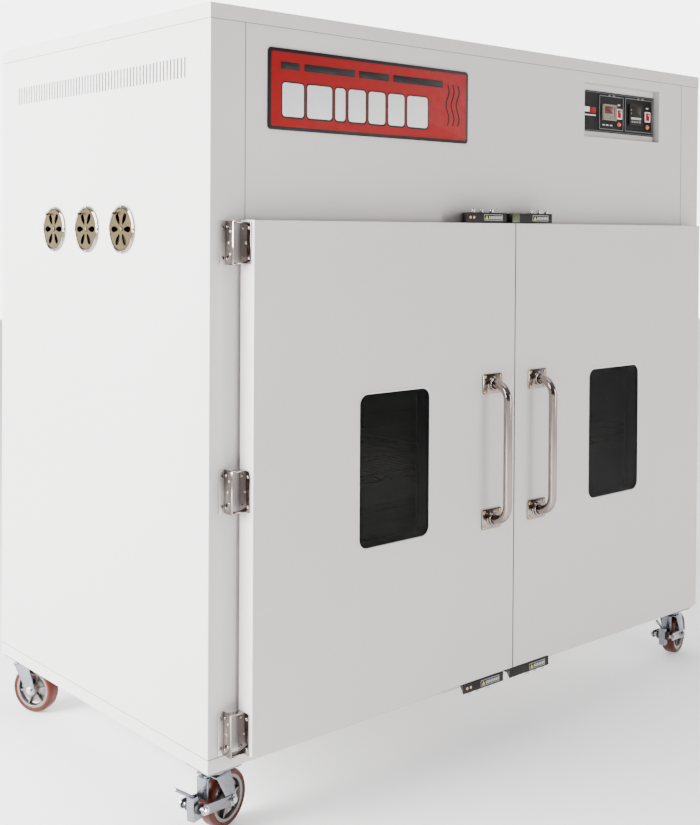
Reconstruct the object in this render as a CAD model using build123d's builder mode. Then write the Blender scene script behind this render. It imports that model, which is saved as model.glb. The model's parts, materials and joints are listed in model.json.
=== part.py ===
from build123d import *
import math
import os

# Industrial hot-air drying cabinet on casters, with two hinged doors.
# Millimetres. Every piece is drawn from the cabinet's lower left front corner:
# x runs right from the left side, y back from the front face, z up from the underside.
# write() then carries it into the part's own frame, whose origin is on the floor
# below the centre of the overall box, with the doors facing -Y.

os.makedirs("parts", exist_ok=True)

# ---- driving dimensions ------------------------------------------------------
CAB_W = 1800.0            # body width
CAB_D = 980.0             # body depth
CAB_H = 1625.0            # body height, casters not counted
CASTER_H = 149.0          # floor to the underside of the body
BOX_CENTRE_X = 885.0      # centre of the overall box, from the left side
BOX_CENTRE_Y = 440.5      # centre of the overall box, from the front face

SHEET = 1.5               # outer sheet
SEAM = 0.6                # visible joint between two sheets
CAP_H = 32.5              # top cap, with its flange
CAP_OVER = 1.0            # overhang of the cap
BASE_H = 32.0             # base tray
RETURN_W = 90.0           # front return of each side sheet

DOOR_BACK = -8.0          # door's inner face
DOOR_FRONT = -56.0        # door's outer face
DOOR_X0 = 74.0            # left door, hinge side
DOOR_X1 = 898.5           # left door, closing side
DOOR_Z0 = 36.0
DOOR_Z1 = 1170.0
WIN_X0, WIN_X1 = 369.0, 600.0
WIN_Z0, WIN_Z1 = 420.0, 781.0
WIN_R = 28.0              # corner radius of the window

BAY_X0, BAY_X1 = 130.0, 870.0      # left front opening of the chamber
BAY_Z0, BAY_Z1 = 95.0, 1120.0
ROOM_X0, ROOM_X1 = 110.0, 1690.0   # chamber, inside its liner
ROOM_Y1 = 860.0
ROOM_Z0, ROOM_Z1 = 85.0, 1135.0
PLENUM_Z1 = 1262.0                 # roof of the air space over the chamber

PIN_X, PIN_Y = 48.0, -23.0         # left hinge line
HINGE_H = 93.0
HINGE_Z = [1121.5, 595.5, 81.0]    # middles of the three hinges
HINGE_T = 2.0                      # hinge plate

HANDLE_X = 814.0
HANDLE_Y = -110.0
HANDLE_Z0, HANDLE_Z1 = 431.0, 769.0
HANDLE_R = 11.0

RECESS_X0, RECESS_X1 = 1246.0, 1597.0
RECESS_Z0, RECESS_Z1 = 1414.0, 1564.0
RECESS_D = 20.0

DAMPER_Y = [354.0, 518.0, 682.0]
DAMPER_Z = 1149.0
DAMPER_R = 56.0

SLOT_COUNT = 57
SLOT_Y0, SLOT_Y1 = 96.5, 881.0
SLOT_Z0, SLOT_Z1 = 1475.0, 1519.0
SLOT_W = 4.5

SHELF_Z = [262.0, 562.0, 862.0]    # top wires of the shelves
SHELF_X0, SHELF_X1 = 152.0, 880.0
SHELF_Y0, SHELF_Y1 = 60.0, 800.0

WHEEL_R = 62.5
WHEEL_W = 40.0
TRAIL = 30.0                       # axle behind the swivel
AXLE_Z = WHEEL_R - CASTER_H
SWIVEL_INSET = 50.0                # swivel from the two nearest sides
FRONT_TURN = 16.0                  # rest angle of the front casters
REAR_TURN = -64.0                  # rest angle of the rear casters

FIT = 0.05                         # radial clearance of pins and shafts
MIRROR_X = Plane.YZ.offset(CAB_W / 2)

TO_ROW = Location((-BOX_CENTRE_X, -BOX_CENTRE_Y, CASTER_H))


def write(part, name):
    """Carry a finished piece into the part's frame and write it."""
    placed = TO_ROW * part
    placed.label = name
    export_step(placed, f"parts/{name}.step")


def slab(x0, x1, y0, y1, z0, z1, mode=Mode.ADD):
    """Box between two corners."""
    with Locations(((x0 + x1) / 2, (y0 + y1) / 2, (z0 + z1) / 2)):
        Box(x1 - x0, y1 - y0, z1 - z0, mode=mode)


def rod_x(x0, x1, y, z, radius, mode=Mode.ADD):
    """Cylinder along x."""
    with Locations(Location(((x0 + x1) / 2, y, z), (0, 90, 0))):
        Cylinder(radius, x1 - x0, mode=mode)


def rod_y(x, y0, y1, z, radius, mode=Mode.ADD):
    """Cylinder along y."""
    with Locations(Location((x, (y0 + y1) / 2, z), (90, 0, 0))):
        Cylinder(radius, y1 - y0, mode=mode)


def rod_z(x, y, z0, z1, radius, mode=Mode.ADD):
    """Cylinder along z."""
    with Locations((x, y, (z0 + z1) / 2)):
        Cylinder(radius, z1 - z0, mode=mode)


def mirrored(part):
    """The right-hand twin of a left-hand piece."""
    return part.mirror(MIRROR_X)


def front_plane(y):
    """Sketch plane parallel to the front; its x is the cabinet's x, its y is z."""
    return Plane(origin=(0, y, 0), x_dir=(1, 0, 0), z_dir=(0, -1, 0))


# ---- base, cap and outer sheets -------------------------------------------------
TRAY_T = 3.0
FOLD_R = 2.0              # outer radius of the folded edges
with BuildPart() as base_tray:
    slab(0, CAB_W, 0, CAB_D, 0, BASE_H - SEAM)
    fillet(base_tray.edges().filter_by(Axis.Z), FOLD_R)
    fillet(base_tray.faces().sort_by(Axis.Z)[0].edges(), FOLD_R)
    slab(TRAY_T, CAB_W - TRAY_T, TRAY_T, CAB_D - TRAY_T, TRAY_T, BASE_H, mode=Mode.SUBTRACT)
write(base_tray.part, "base_tray")

CAP_Z0 = CAB_H - CAP_H
with BuildPart() as top_cap:
    slab(-CAP_OVER, CAB_W + CAP_OVER, -CAP_OVER, CAB_D + CAP_OVER, CAP_Z0, CAB_H)
    fillet(top_cap.edges().filter_by(Axis.Z), FOLD_R)
    fillet(top_cap.faces().sort_by(Axis.Z)[-1].edges(), FOLD_R)
    slab(SHEET, CAB_W - SHEET, SHEET, CAB_D - SHEET, CAP_Z0 - 1, CAB_H - SHEET, mode=Mode.SUBTRACT)
write(top_cap.part, "top_cap")

SIDE_Z0 = BASE_H
SIDE_Z1 = CAP_Z0 - SEAM
SLOT_PITCH = (SLOT_Y1 - SLOT_Y0) / (SLOT_COUNT - 1)
with BuildPart() as side_sheet:
    slab(0, SHEET, 0, CAB_D, SIDE_Z0, SIDE_Z1)
    slab(0, RETURN_W, 0, SHEET, SIDE_Z0, SIDE_Z1)
    fillet(side_sheet.edges().filter_by(Axis.Z).filter_by_position(Axis.X, -0.1, 0.1)
           .filter_by_position(Axis.Y, -0.1, 0.1), FOLD_R)
    side_plane = Plane(origin=(0, (SLOT_Y0 + SLOT_Y1) / 2, (SLOT_Z0 + SLOT_Z1) / 2),
                       x_dir=(0, 1, 0), z_dir=(1, 0, 0))
    with BuildSketch(side_plane):
        with GridLocations(SLOT_PITCH, 1, SLOT_COUNT, 1):
            Rectangle(SLOT_W, SLOT_Z1 - SLOT_Z0)
    extrude(amount=SHEET, mode=Mode.SUBTRACT)
write(mirrored(side_sheet.part), "right_side_panel")

VENT_HOLE_R = 44.0
with BuildPart() as left_side_panel:
    add(side_sheet.part)
    for vent_y in DAMPER_Y:
        rod_x(-1, SHEET + 1, vent_y, DAMPER_Z, VENT_HOLE_R, mode=Mode.SUBTRACT)
write(left_side_panel.part, "left_side_panel")

GLAND_X, GLAND_Z = 1650.0, 1450.0
GLAND_R = 12.5
with BuildPart() as rear_panel:
    slab(SHEET, CAB_W - SHEET, CAB_D - SHEET, CAB_D, SIDE_Z0, SIDE_Z1)
    rod_y(GLAND_X, CAB_D - 5, CAB_D + 5, GLAND_Z, GLAND_R, mode=Mode.SUBTRACT)
write(rear_panel.part, "rear_panel")

FASCIA_T = 2.0
FASCIA_X0 = RETURN_W + SEAM
HEADER_Z0 = 1160.0        # joint between header and bay frame, behind the doors
LEDGE_X, LEDGE_Z = 18.0, 27.0      # rim of the recess that the control panel lies on
POCKET_GAP = 0.1          # weld line between the header's sheets, and between them and the recess pocket
with BuildPart() as header_sheet:
    slab(FASCIA_X0, RECESS_X0, 0, FASCIA_T, HEADER_Z0, SIDE_Z1)
    slab(RECESS_X1, CAB_W - FASCIA_X0, 0, FASCIA_T, HEADER_Z0, SIDE_Z1)
    slab(RECESS_X0 + POCKET_GAP, RECESS_X1 - POCKET_GAP, 0, FASCIA_T, HEADER_Z0, RECESS_Z0)
    slab(RECESS_X0 + POCKET_GAP, RECESS_X1 - POCKET_GAP, 0, FASCIA_T, RECESS_Z1, SIDE_Z1)
with BuildPart() as bay_frame:
    slab(FASCIA_X0, CAB_W - FASCIA_X0, 0, FASCIA_T, SIDE_Z0, HEADER_Z0 - SEAM)
    for bay_x0, bay_x1 in [(BAY_X0, BAY_X1), (CAB_W - BAY_X1, CAB_W - BAY_X0)]:
        slab(bay_x0, bay_x1, -1, FASCIA_T + 1, BAY_Z0, BAY_Z1, mode=Mode.SUBTRACT)
with BuildPart() as recess_pocket:
    slab(RECESS_X0 - SHEET, RECESS_X1 + SHEET, FASCIA_T + POCKET_GAP, RECESS_D + SHEET, RECESS_Z0 - SHEET,
         RECESS_Z1 + SHEET)
    slab(RECESS_X0, RECESS_X1, 0, RECESS_D, RECESS_Z0, RECESS_Z1, mode=Mode.SUBTRACT)
    slab(RECESS_X0 + LEDGE_X, RECESS_X1 - LEDGE_X, 0, 2 * RECESS_D, RECESS_Z0 + LEDGE_Z,
         RECESS_Z1 - LEDGE_Z, mode=Mode.SUBTRACT)
with BuildPart() as front_fascia:
    add(header_sheet.part)
    add(bay_frame.part)
    add(recess_pocket.part)
write(front_fascia.part, "front_fascia")

# ---- chamber ------------------------------------------------------------------------
LINER_T = 1.2
LINER_GAP = 0.2           # corner gap between liner sheets
DUCT_Y1 = 904.0           # back of the duct behind the air plate
FAN_X, FAN_Y = CAB_W / 2, 520.0
SHAFT_HOLE_R = 20.0
AIR_SLOT = (70.0, 7.0)
AIR_SLOT_COUNT = (14, 22)
AIR_SLOT_PITCH = (110.0, 40.0)
with BuildPart() as chamber_liner:
    slab(ROOM_X0 - LINER_T, ROOM_X0, FASCIA_T, ROOM_Y1, ROOM_Z0, ROOM_Z1)
    slab(ROOM_X1, ROOM_X1 + LINER_T, FASCIA_T, ROOM_Y1, ROOM_Z0, ROOM_Z1)
    slab(ROOM_X0 - LINER_T, ROOM_X1 + LINER_T, FASCIA_T, ROOM_Y1, ROOM_Z0 - LINER_T - LINER_GAP,
         ROOM_Z0 - LINER_GAP)
    slab(ROOM_X0 - LINER_T, ROOM_X1 + LINER_T, FASCIA_T, ROOM_Y1, ROOM_Z1 + LINER_GAP,
         ROOM_Z1 + LINER_T + LINER_GAP)
    slab(ROOM_X0 - LINER_T, ROOM_X1 + LINER_T, FASCIA_T, DUCT_Y1, PLENUM_Z1, PLENUM_Z1 + LINER_T)
    rod_z(FAN_X, FAN_Y, PLENUM_Z1 - 1, PLENUM_Z1 + LINER_T + 1, SHAFT_HOLE_R, mode=Mode.SUBTRACT)
    slab(ROOM_X0, ROOM_X1, ROOM_Y1 + LINER_GAP, ROOM_Y1 + LINER_GAP + LINER_T, ROOM_Z0, ROOM_Z1)
    with BuildSketch(Plane(origin=(CAB_W / 2, ROOM_Y1, (ROOM_Z0 + ROOM_Z1) / 2), x_dir=(1, 0, 0),
                           z_dir=(0, -1, 0))) as slots:
        with GridLocations(*AIR_SLOT_PITCH, *AIR_SLOT_COUNT):
            Rectangle(*AIR_SLOT)
    extrude(slots.sketch, amount=-2 * LINER_T, mode=Mode.SUBTRACT)
write(chamber_liner.part, "chamber_liner")

WOOL_CLEAR = 3.0          # space between the wool and the sheets round it
WOOL_Y0, WOOL_Y1 = 4.0, CAB_D - 10
LEFT_WOOL_Z1 = 1085.0     # the left slab stops under the dampers
ROOF_WOOL_T = 32.0
with BuildPart() as insulation_slabs:
    slab(WOOL_CLEAR, ROOM_X0 - WOOL_CLEAR, WOOL_Y0, WOOL_Y1, ROOM_Z0, LEFT_WOOL_Z1)
    slab(ROOM_X1 + WOOL_CLEAR, CAB_W - WOOL_CLEAR, WOOL_Y0, WOOL_Y1, ROOM_Z0, PLENUM_Z1)
    slab(WOOL_CLEAR, CAB_W - WOOL_CLEAR, WOOL_Y0, WOOL_Y1, SIDE_Z0 + WOOL_CLEAR, ROOM_Z0 - WOOL_CLEAR)
    slab(ROOM_X0, ROOM_X1, DUCT_Y1 + WOOL_CLEAR, WOOL_Y1, ROOM_Z0, PLENUM_Z1)
    slab(ROOM_X0, ROOM_X1, RECESS_D + WOOL_CLEAR, DUCT_Y1 - WOOL_CLEAR, PLENUM_Z1 + WOOL_CLEAR,
         PLENUM_Z1 + WOOL_CLEAR + ROOF_WOOL_T)
    rod_z(FAN_X, FAN_Y, PLENUM_Z1, PLENUM_Z1 + 2 * ROOF_WOOL_T, 1.5 * SHAFT_HOLE_R, mode=Mode.SUBTRACT)
write(insulation_slabs.part, "insulation_slabs")

# ---- shelves ------------------------------------------------------------------------
SHELF_DROP = 18.0         # lower rim wire below the upper one
WIRE = 5.0                # rim wire, square in section here
BAR = 3.0                 # bars, front to back
BAR_PITCH, BAR_COUNT = 26.0, 27
BEAM_PITCH, BEAM_COUNT = 185.0, 3  # cross wires under the bars
POST_W = 16.0
POST_OUT = 14.0           # post's middle, beyond the shelf's end
POST_X = [SHELF_X0 - POST_OUT, CAB_W / 2, CAB_W - SHELF_X0 + POST_OUT]
POST_Y = [90.0, 770.0]
POST_Z1 = 1100.0

with BuildPart() as wire_shelves:
    shelf_size = (SHELF_X1 - SHELF_X0, SHELF_Y1 - SHELF_Y0)
    for shelf_z in SHELF_Z:
        for shelf_mid in [(SHELF_X0 + SHELF_X1) / 2, CAB_W - (SHELF_X0 + SHELF_X1) / 2]:
            with BuildSketch(Plane.XY.offset(shelf_z - WIRE)):
                with Locations((shelf_mid, (SHELF_Y0 + SHELF_Y1) / 2)):
                    Rectangle(*shelf_size)
                    Rectangle(shelf_size[0] - 2 * WIRE, shelf_size[1] - 2 * WIRE, mode=Mode.SUBTRACT)
                    with GridLocations(BAR_PITCH, 1, BAR_COUNT, 1):
                        Rectangle(BAR, shelf_size[1] - WIRE)
                    with GridLocations(1, BEAM_PITCH, 1, BEAM_COUNT):
                        Rectangle(shelf_size[0] - WIRE, WIRE)
            extrude(amount=WIRE)
            with BuildSketch(Plane.XY.offset(shelf_z - SHELF_DROP - WIRE)):
                with Locations((shelf_mid, (SHELF_Y0 + SHELF_Y1) / 2)):
                    Rectangle(*shelf_size)
                    Rectangle(shelf_size[0] - 2 * WIRE, shelf_size[1] - 2 * WIRE, mode=Mode.SUBTRACT)
            extrude(amount=WIRE)
            with BuildSketch(Plane.XY.offset(shelf_z - SHELF_DROP)):
                with Locations((shelf_mid, (SHELF_Y0 + SHELF_Y1) / 2)):
                    with GridLocations(shelf_size[0] - WIRE, shelf_size[1] - WIRE, 2, 2):
                        Rectangle(WIRE, WIRE)
            extrude(amount=SHELF_DROP - WIRE)
write(wire_shelves.part, "wire_shelves")

PEG_H, PEG_W = 14.0, 6.0
PEG_REACH = 30.0          # peg's end, from the post's middle
with BuildPart() as shelf_posts:
    for post_x in POST_X:
        for post_y in POST_Y:
            slab(post_x - POST_W / 2, post_x + POST_W / 2, post_y - POST_W / 2, post_y + POST_W / 2,
                 ROOM_Z0, POST_Z1)
            left_reach = 0 if post_x == POST_X[0] else PEG_REACH
            right_reach = 0 if post_x == POST_X[-1] else PEG_REACH
            for shelf_z in SHELF_Z:
                peg_top = shelf_z - SHELF_DROP - WIRE
                slab(post_x - left_reach, post_x + right_reach, post_y - PEG_W / 2, post_y + PEG_W / 2,
                     peg_top - PEG_H, peg_top)
write(shelf_posts.part, "shelf_posts")

# ---- heater and fan -------------------------------------------------------------------
HEATER_R = 6.0
HEATER_Y = [150.0, 190.0, 230.0]
HEATER_X0, HEATER_X1 = 300.0, 1500.0
HEATER_Z = 1200.0
HEATER_GAP = 40.0
HEADER_T, HEADER_REACH = 8.0, 20.0 # plate that carries the rods, and its overhang
HEADER_CLEAR = 4.0
with BuildPart() as heater_elements:
    for heater_y in HEATER_Y:
        for heater_z in [HEATER_Z, HEATER_Z + HEATER_GAP]:
            rod_x(HEATER_X0, HEATER_X1, heater_y, heater_z, HEATER_R)
        rod_z(HEATER_X1 - HEATER_R, heater_y, HEATER_Z, HEATER_Z + HEATER_GAP, HEATER_R)
    slab(HEATER_X0 - HEADER_T / 2, HEATER_X0 + HEADER_T / 2, HEATER_Y[0] - HEADER_REACH,
         HEATER_Y[-1] + HEADER_REACH, ROOM_Z1 + HEADER_CLEAR, PLENUM_Z1 - HEADER_CLEAR)
write(heater_elements.part, "heater_elements")

SHAFT_R = 8.0
MOTOR_R = 80.0
MOTOR_Z0, MOTOR_Z1 = 1306.0, 1500.0
MOTOR_FOOT, MOTOR_FOOT_T = 240.0, 6.0
TERMINAL_W, TERMINAL_Z0, TERMINAL_Z1 = 100.0, 1376.0, 1460.0
TERMINAL_Y0 = FAN_Y - 110
SHAFT_TOP = MOTOR_Z1 - 34
with BuildPart() as fan_motor:
    rod_z(FAN_X, FAN_Y, MOTOR_Z0 + MOTOR_FOOT_T, MOTOR_Z1, MOTOR_R)
    slab(FAN_X - MOTOR_FOOT / 2, FAN_X + MOTOR_FOOT / 2, FAN_Y - MOTOR_FOOT / 2, FAN_Y + MOTOR_FOOT / 2,
         MOTOR_Z0, MOTOR_Z0 + MOTOR_FOOT_T)
    slab(FAN_X - TERMINAL_W / 2, FAN_X + TERMINAL_W / 2, TERMINAL_Y0, FAN_Y, TERMINAL_Z0, TERMINAL_Z1)
    rod_z(FAN_X, FAN_Y, MOTOR_Z0 - 1, SHAFT_TOP + 4, SHAFT_R + FIT, mode=Mode.SUBTRACT)
write(fan_motor.part, "fan_motor")

BLADE_COUNT = 12
BLADE_R0, BLADE_R1, BLADE_T = 85.0, 145.0, 3.0
IMPELLER_R, IMPELLER_T = 150.0, 5.0
IMPELLER_Z0, IMPELLER_Z1 = 1155.0, 1205.0
HUB_R = 22.0
with BuildPart() as fan_impeller:
    rod_z(FAN_X, FAN_Y, IMPELLER_Z0, SHAFT_TOP, SHAFT_R)
    rod_z(FAN_X, FAN_Y, IMPELLER_Z0, IMPELLER_Z0 + IMPELLER_T, IMPELLER_R)
    rod_z(FAN_X, FAN_Y, IMPELLER_Z0, IMPELLER_Z1, HUB_R)
    with Locations((FAN_X, FAN_Y, (IMPELLER_Z0 + IMPELLER_T + IMPELLER_Z1) / 2)):
        with PolarLocations((BLADE_R0 + BLADE_R1) / 2, BLADE_COUNT):
            Box(BLADE_R1 - BLADE_R0, BLADE_T, IMPELLER_Z1 - IMPELLER_Z0 - IMPELLER_T)
write(fan_impeller.part, "fan_impeller")

# ---- name plate and controls ------------------------------------------------------------
with BuildPart() as nameplate:
    with BuildSketch(front_plane(0)):
        with Locations((463, 1457.5)):
            RectangleRounded(628, 179, 9)
    extrude(amount=3)
write(nameplate.part, "nameplate")

PANEL_Y = RECESS_D - 2
PANEL_X0, PANEL_X1 = 1250.0, 1593.0
PANEL_Z0, PANEL_Z1 = 1432.0, 1546.0
CONTROLLER = (1347.0, 1411.0, 1467.0, 1512.0)
TIMER = (1472.0, 1536.0, 1460.0, 1521.0)
SWITCH_X = [1425.5, 1562.0]
SWITCH_Z = 1488.0
SWITCH_W, SWITCH_H = 26.0, 30.0
LAMP_Z = 1458.0
LAMP_R = 7.0
CUT_IN = 3.0              # cut-outs are this much inside each instrument's bezel
with BuildPart() as control_panel:
    slab(PANEL_X0, PANEL_X1, PANEL_Y, RECESS_D, PANEL_Z0, PANEL_Z1)
    for cut_x0, cut_x1, cut_z0, cut_z1 in [CONTROLLER, TIMER]:
        slab(cut_x0 + CUT_IN, cut_x1 - CUT_IN, 0, 30, cut_z0 + CUT_IN, cut_z1 - CUT_IN, mode=Mode.SUBTRACT)
    for switch_x in SWITCH_X:
        slab(switch_x - SWITCH_W / 2 + CUT_IN, switch_x + SWITCH_W / 2 - CUT_IN, 0, 30,
             SWITCH_Z - SWITCH_H / 2 + CUT_IN, SWITCH_Z + SWITCH_H / 2 - CUT_IN, mode=Mode.SUBTRACT)
        rod_y(switch_x, 0, 30, LAMP_Z, LAMP_R - 2, mode=Mode.SUBTRACT)
write(control_panel.part, "control_panel")


def instrument(box, face_y, depth):
    """Panel instrument: a bezel on the panel and a body through its cut-out."""
    x0, x1, z0, z1 = box
    with BuildPart() as unit:
        slab(x0, x1, face_y, PANEL_Y, z0, z1)
        slab(x0 + CUT_IN, x1 - CUT_IN, PANEL_Y, PANEL_Y + depth, z0 + CUT_IN, z1 - CUT_IN)
        fillet(unit.edges().filter_by(Axis.Y).group_by(Axis.Y)[0], 2)
    return unit.part


write(instrument(CONTROLLER, PANEL_Y - 5, 70), "temperature_controller")
write(instrument(TIMER, PANEL_Y - 4, 55), "timer_unit")

ROCKER_W, ROCKER_H = 15.0, 22.0
ROCKER_Y = PANEL_Y - 1.0           # rocking axis
TRUNNION_R, TRUNNION_REACH = 1.2, 9.5      # its pivots, and their ends from the middle
with BuildPart() as switch_housings:
    for switch_x in SWITCH_X:
        slab(switch_x - SWITCH_W / 2, switch_x + SWITCH_W / 2, PANEL_Y - 3, PANEL_Y,
             SWITCH_Z - SWITCH_H / 2, SWITCH_Z + SWITCH_H / 2)
        slab(switch_x - SWITCH_W / 2 + CUT_IN, switch_x + SWITCH_W / 2 - CUT_IN, PANEL_Y, PANEL_Y + 22,
             SWITCH_Z - SWITCH_H / 2 + CUT_IN, SWITCH_Z + SWITCH_H / 2 - CUT_IN)
        slab(switch_x - ROCKER_W / 2 - 0.5, switch_x + ROCKER_W / 2 + 0.5, PANEL_Y - 4, PANEL_Y + 12,
             SWITCH_Z - ROCKER_H / 2 - 0.5, SWITCH_Z + ROCKER_H / 2 + 0.5, mode=Mode.SUBTRACT)
        rod_x(switch_x - TRUNNION_REACH - 0.3, switch_x + TRUNNION_REACH + 0.3, ROCKER_Y, SWITCH_Z,
              TRUNNION_R + FIT, mode=Mode.SUBTRACT)
write(switch_housings.part, "switch_housings")


def rocker(switch_x):
    """Rocker of a switch, lying on its off side."""
    with BuildPart() as paddle:
        with BuildSketch(Plane(origin=(switch_x - ROCKER_W / 2, ROCKER_Y, SWITCH_Z),
                               x_dir=(0, 1, 0), z_dir=(1, 0, 0))):
            with BuildLine():
                Polyline((-2.5, -ROCKER_H / 2 + 0.4), (-4.2, ROCKER_H / 2 - 0.6), (3, ROCKER_H / 2 - 1.6),
                         (6, 0), (3, -ROCKER_H / 2 + 1.6), close=True)
            make_face()
        extrude(amount=ROCKER_W)
        rod_x(switch_x - TRUNNION_REACH, switch_x + TRUNNION_REACH, ROCKER_Y, SWITCH_Z, TRUNNION_R)
    return paddle.part


write(rocker(SWITCH_X[0]), "heater_rocker")
write(rocker(SWITCH_X[1]), "fan_rocker")

with BuildPart() as pilot_lamps:
    for lamp_x in SWITCH_X:
        rod_y(lamp_x, PANEL_Y - 1.5, PANEL_Y, LAMP_Z, LAMP_R)
        with Locations(Location((lamp_x, PANEL_Y - 1.5, LAMP_Z), (90, 0, 0))):
            Sphere(LAMP_R - 1, arc_size1=0, align=(Align.CENTER, Align.CENTER, Align.MIN))
        rod_y(lamp_x, PANEL_Y, PANEL_Y + 14, LAMP_Z, LAMP_R - 2 - FIT)
write(pilot_lamps.part, "pilot_lamps")

# ---- exhaust dampers on the left side -------------------------------------------------------
DISC_R = 48.0
PETALS = 6
PETAL = (14.0, 30.0)      # each petal hole, across and along its radius
PETAL_AT = 27.0


def petal_holes(depth_x0, depth_x1, centre_y):
    """Petal holes of one damper, cut from the part being built."""
    with BuildSketch(Plane(origin=(depth_x0, centre_y, DAMPER_Z), x_dir=(0, 1, 0), z_dir=(1, 0, 0))) as petals:
        with PolarLocations(PETAL_AT, PETALS):
            SlotOverall(PETAL[1], PETAL[0])
    extrude(petals.sketch, amount=depth_x1 - depth_x0, mode=Mode.SUBTRACT)


RIM_IN = 49.5
DAMPER_T = 2.0
DISC_X0, DISC_X1 = -4.3, -2.5
with BuildPart() as damper_plates:
    for vent_y in DAMPER_Y:
        rod_x(-DAMPER_T, 0, vent_y, DAMPER_Z, DAMPER_R)
    for vent_y in DAMPER_Y:
        rod_x(-5.5, -DAMPER_T, vent_y, DAMPER_Z, DAMPER_R)
        rod_x(-6, -DAMPER_T, vent_y, DAMPER_Z, RIM_IN, mode=Mode.SUBTRACT)
        petal_holes(-DAMPER_T - 1, 1, vent_y)
        rod_x(-6, -DAMPER_T, vent_y, DAMPER_Z, 3)
        rod_x(-7, -5, vent_y, DAMPER_Z, 6)
write(damper_plates.part, "damper_plates")


def damper_disc(centre_y):
    """Turning shutter of one damper, with its thumb tab."""
    with BuildPart() as disc:
        rod_x(DISC_X0, DISC_X1, centre_y, DAMPER_Z, DISC_R)
        petal_holes(DISC_X0 - 1, DISC_X1 + 1, centre_y)
        rod_x(DISC_X0 - 1, DISC_X1 + 1, centre_y, DAMPER_Z, 3 + FIT, mode=Mode.SUBTRACT)
        with Locations(Location((0, centre_y, DAMPER_Z), (-30, 0, 0))):
            with Locations(Location((DISC_X0 - 5, 0, 43), (0, 90, 0))):
                Cylinder(3.5, 10.5)
    return disc.part


for vent_name, vent_y in zip(["front", "middle", "rear"], DAMPER_Y):
    write(damper_disc(vent_y), f"damper_disc_{vent_name}")

# ---- hinges ---------------------------------------------------------------------------------
WEB_X = 40.0              # near face of the cabinet bracket's web
FLANGE_X0 = 25.0
WEB_Y = -31.0             # front edge of the webs
EAR_R = 8.0
EAR_GAP = 0.3
HINGE_PIN_R = 3.0
NOTCH_Y, NOTCH_H = -16.0, 3.6      # cut in the web that the door's ear swings through
LEAF_X = DOOR_X0 - 0.3    # door bracket lies against the door's edge


def hinge_ear(x_root, z0):
    """Ear of a hinge bracket: a plate from its web to a round end on the hinge line."""
    with BuildSketch(Plane.XY.offset(z0)) as outline:
        with BuildLine():
            Polyline((x_root, WEB_Y), (PIN_X, PIN_Y - EAR_R), (PIN_X, PIN_Y + EAR_R),
                     (x_root, PIN_Y + EAR_R), close=True)
        make_face()
        with Locations((PIN_X, PIN_Y)):
            Circle(EAR_R)
    extrude(outline.sketch, amount=HINGE_T)


def frame_bracket(mid_z):
    """Cabinet half of a hinge: flange on the front, web standing out, ear at each end."""
    z0, z1 = mid_z - HINGE_H / 2, mid_z + HINGE_H / 2
    with BuildPart() as bracket:
        slab(FLANGE_X0, WEB_X, -HINGE_T, 0, z0, z1)
        slab(WEB_X - HINGE_T, WEB_X, WEB_Y, 0, z0, z1)
        for notch_z0 in [z0 + HINGE_T, z1 - HINGE_T - NOTCH_H]:
            slab(WEB_X - HINGE_T - 1, WEB_X + 1, WEB_Y - 1, NOTCH_Y, notch_z0, notch_z0 + NOTCH_H,
                 mode=Mode.SUBTRACT)
        for ear_z in [z0, z1 - HINGE_T]:
            hinge_ear(WEB_X - HINGE_T, ear_z)
            rod_z(PIN_X, PIN_Y, ear_z - 1, ear_z + HINGE_T + 1, HINGE_PIN_R, mode=Mode.SUBTRACT)
    return bracket.part


def door_bracket(mid_z):
    """Door half of a hinge: plate on the door's edge with an ear inside each cabinet ear."""
    inset = HINGE_T + EAR_GAP
    z0, z1 = mid_z - HINGE_H / 2 + inset, mid_z + HINGE_H / 2 - inset
    with BuildPart() as bracket:
        slab(LEAF_X - HINGE_T, LEAF_X, DOOR_BACK - 38, DOOR_BACK - 1, z0, z1)
        for ear_z in [z0, z1 - HINGE_T]:
            hinge_ear(LEAF_X - HINGE_T / 2, ear_z)
            rod_z(PIN_X, PIN_Y, ear_z - 1, ear_z + HINGE_T + 1, HINGE_PIN_R + FIT, mode=Mode.SUBTRACT)
    return bracket.part


def short_pins(mid_z):
    """The two short pins of one hinge, headed outside the cabinet ears."""
    reach = 2 * HINGE_T + EAR_GAP + 1
    with BuildPart() as pins:
        for end_z, inward in [(mid_z - HINGE_H / 2, 1), (mid_z + HINGE_H / 2, -1)]:
            rod_z(PIN_X, PIN_Y, min(end_z, end_z + inward * reach), max(end_z, end_z + inward * reach),
                  HINGE_PIN_R)
            rod_z(PIN_X, PIN_Y, min(end_z, end_z - inward * 1.5), max(end_z, end_z - inward * 1.5), 4.5)
    return pins.part


def at_hinges(make):
    """One piece at each of the three hinges of the left door, as one group."""
    with BuildPart() as group:
        for mid_z in HINGE_Z:
            add(make(mid_z))
    return group.part


def both_sides(left):
    """A left group with its right-hand twin."""
    with BuildPart() as pair:
        add(left)
        add(mirrored(left))
    return pair.part


with BuildPart() as frame_hinges:
    add(both_sides(at_hinges(frame_bracket)))
with BuildPart() as hinge_pins:
    add(both_sides(at_hinges(short_pins)))
write(Compound(children=[*frame_hinges.solids(), *hinge_pins.solids()]), "frame_hinges")
left_hinge_leaves = at_hinges(door_bracket)
write(left_hinge_leaves, "left_door_hinge_leaves")
write(mirrored(left_hinge_leaves), "right_door_hinge_leaves")

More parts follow.
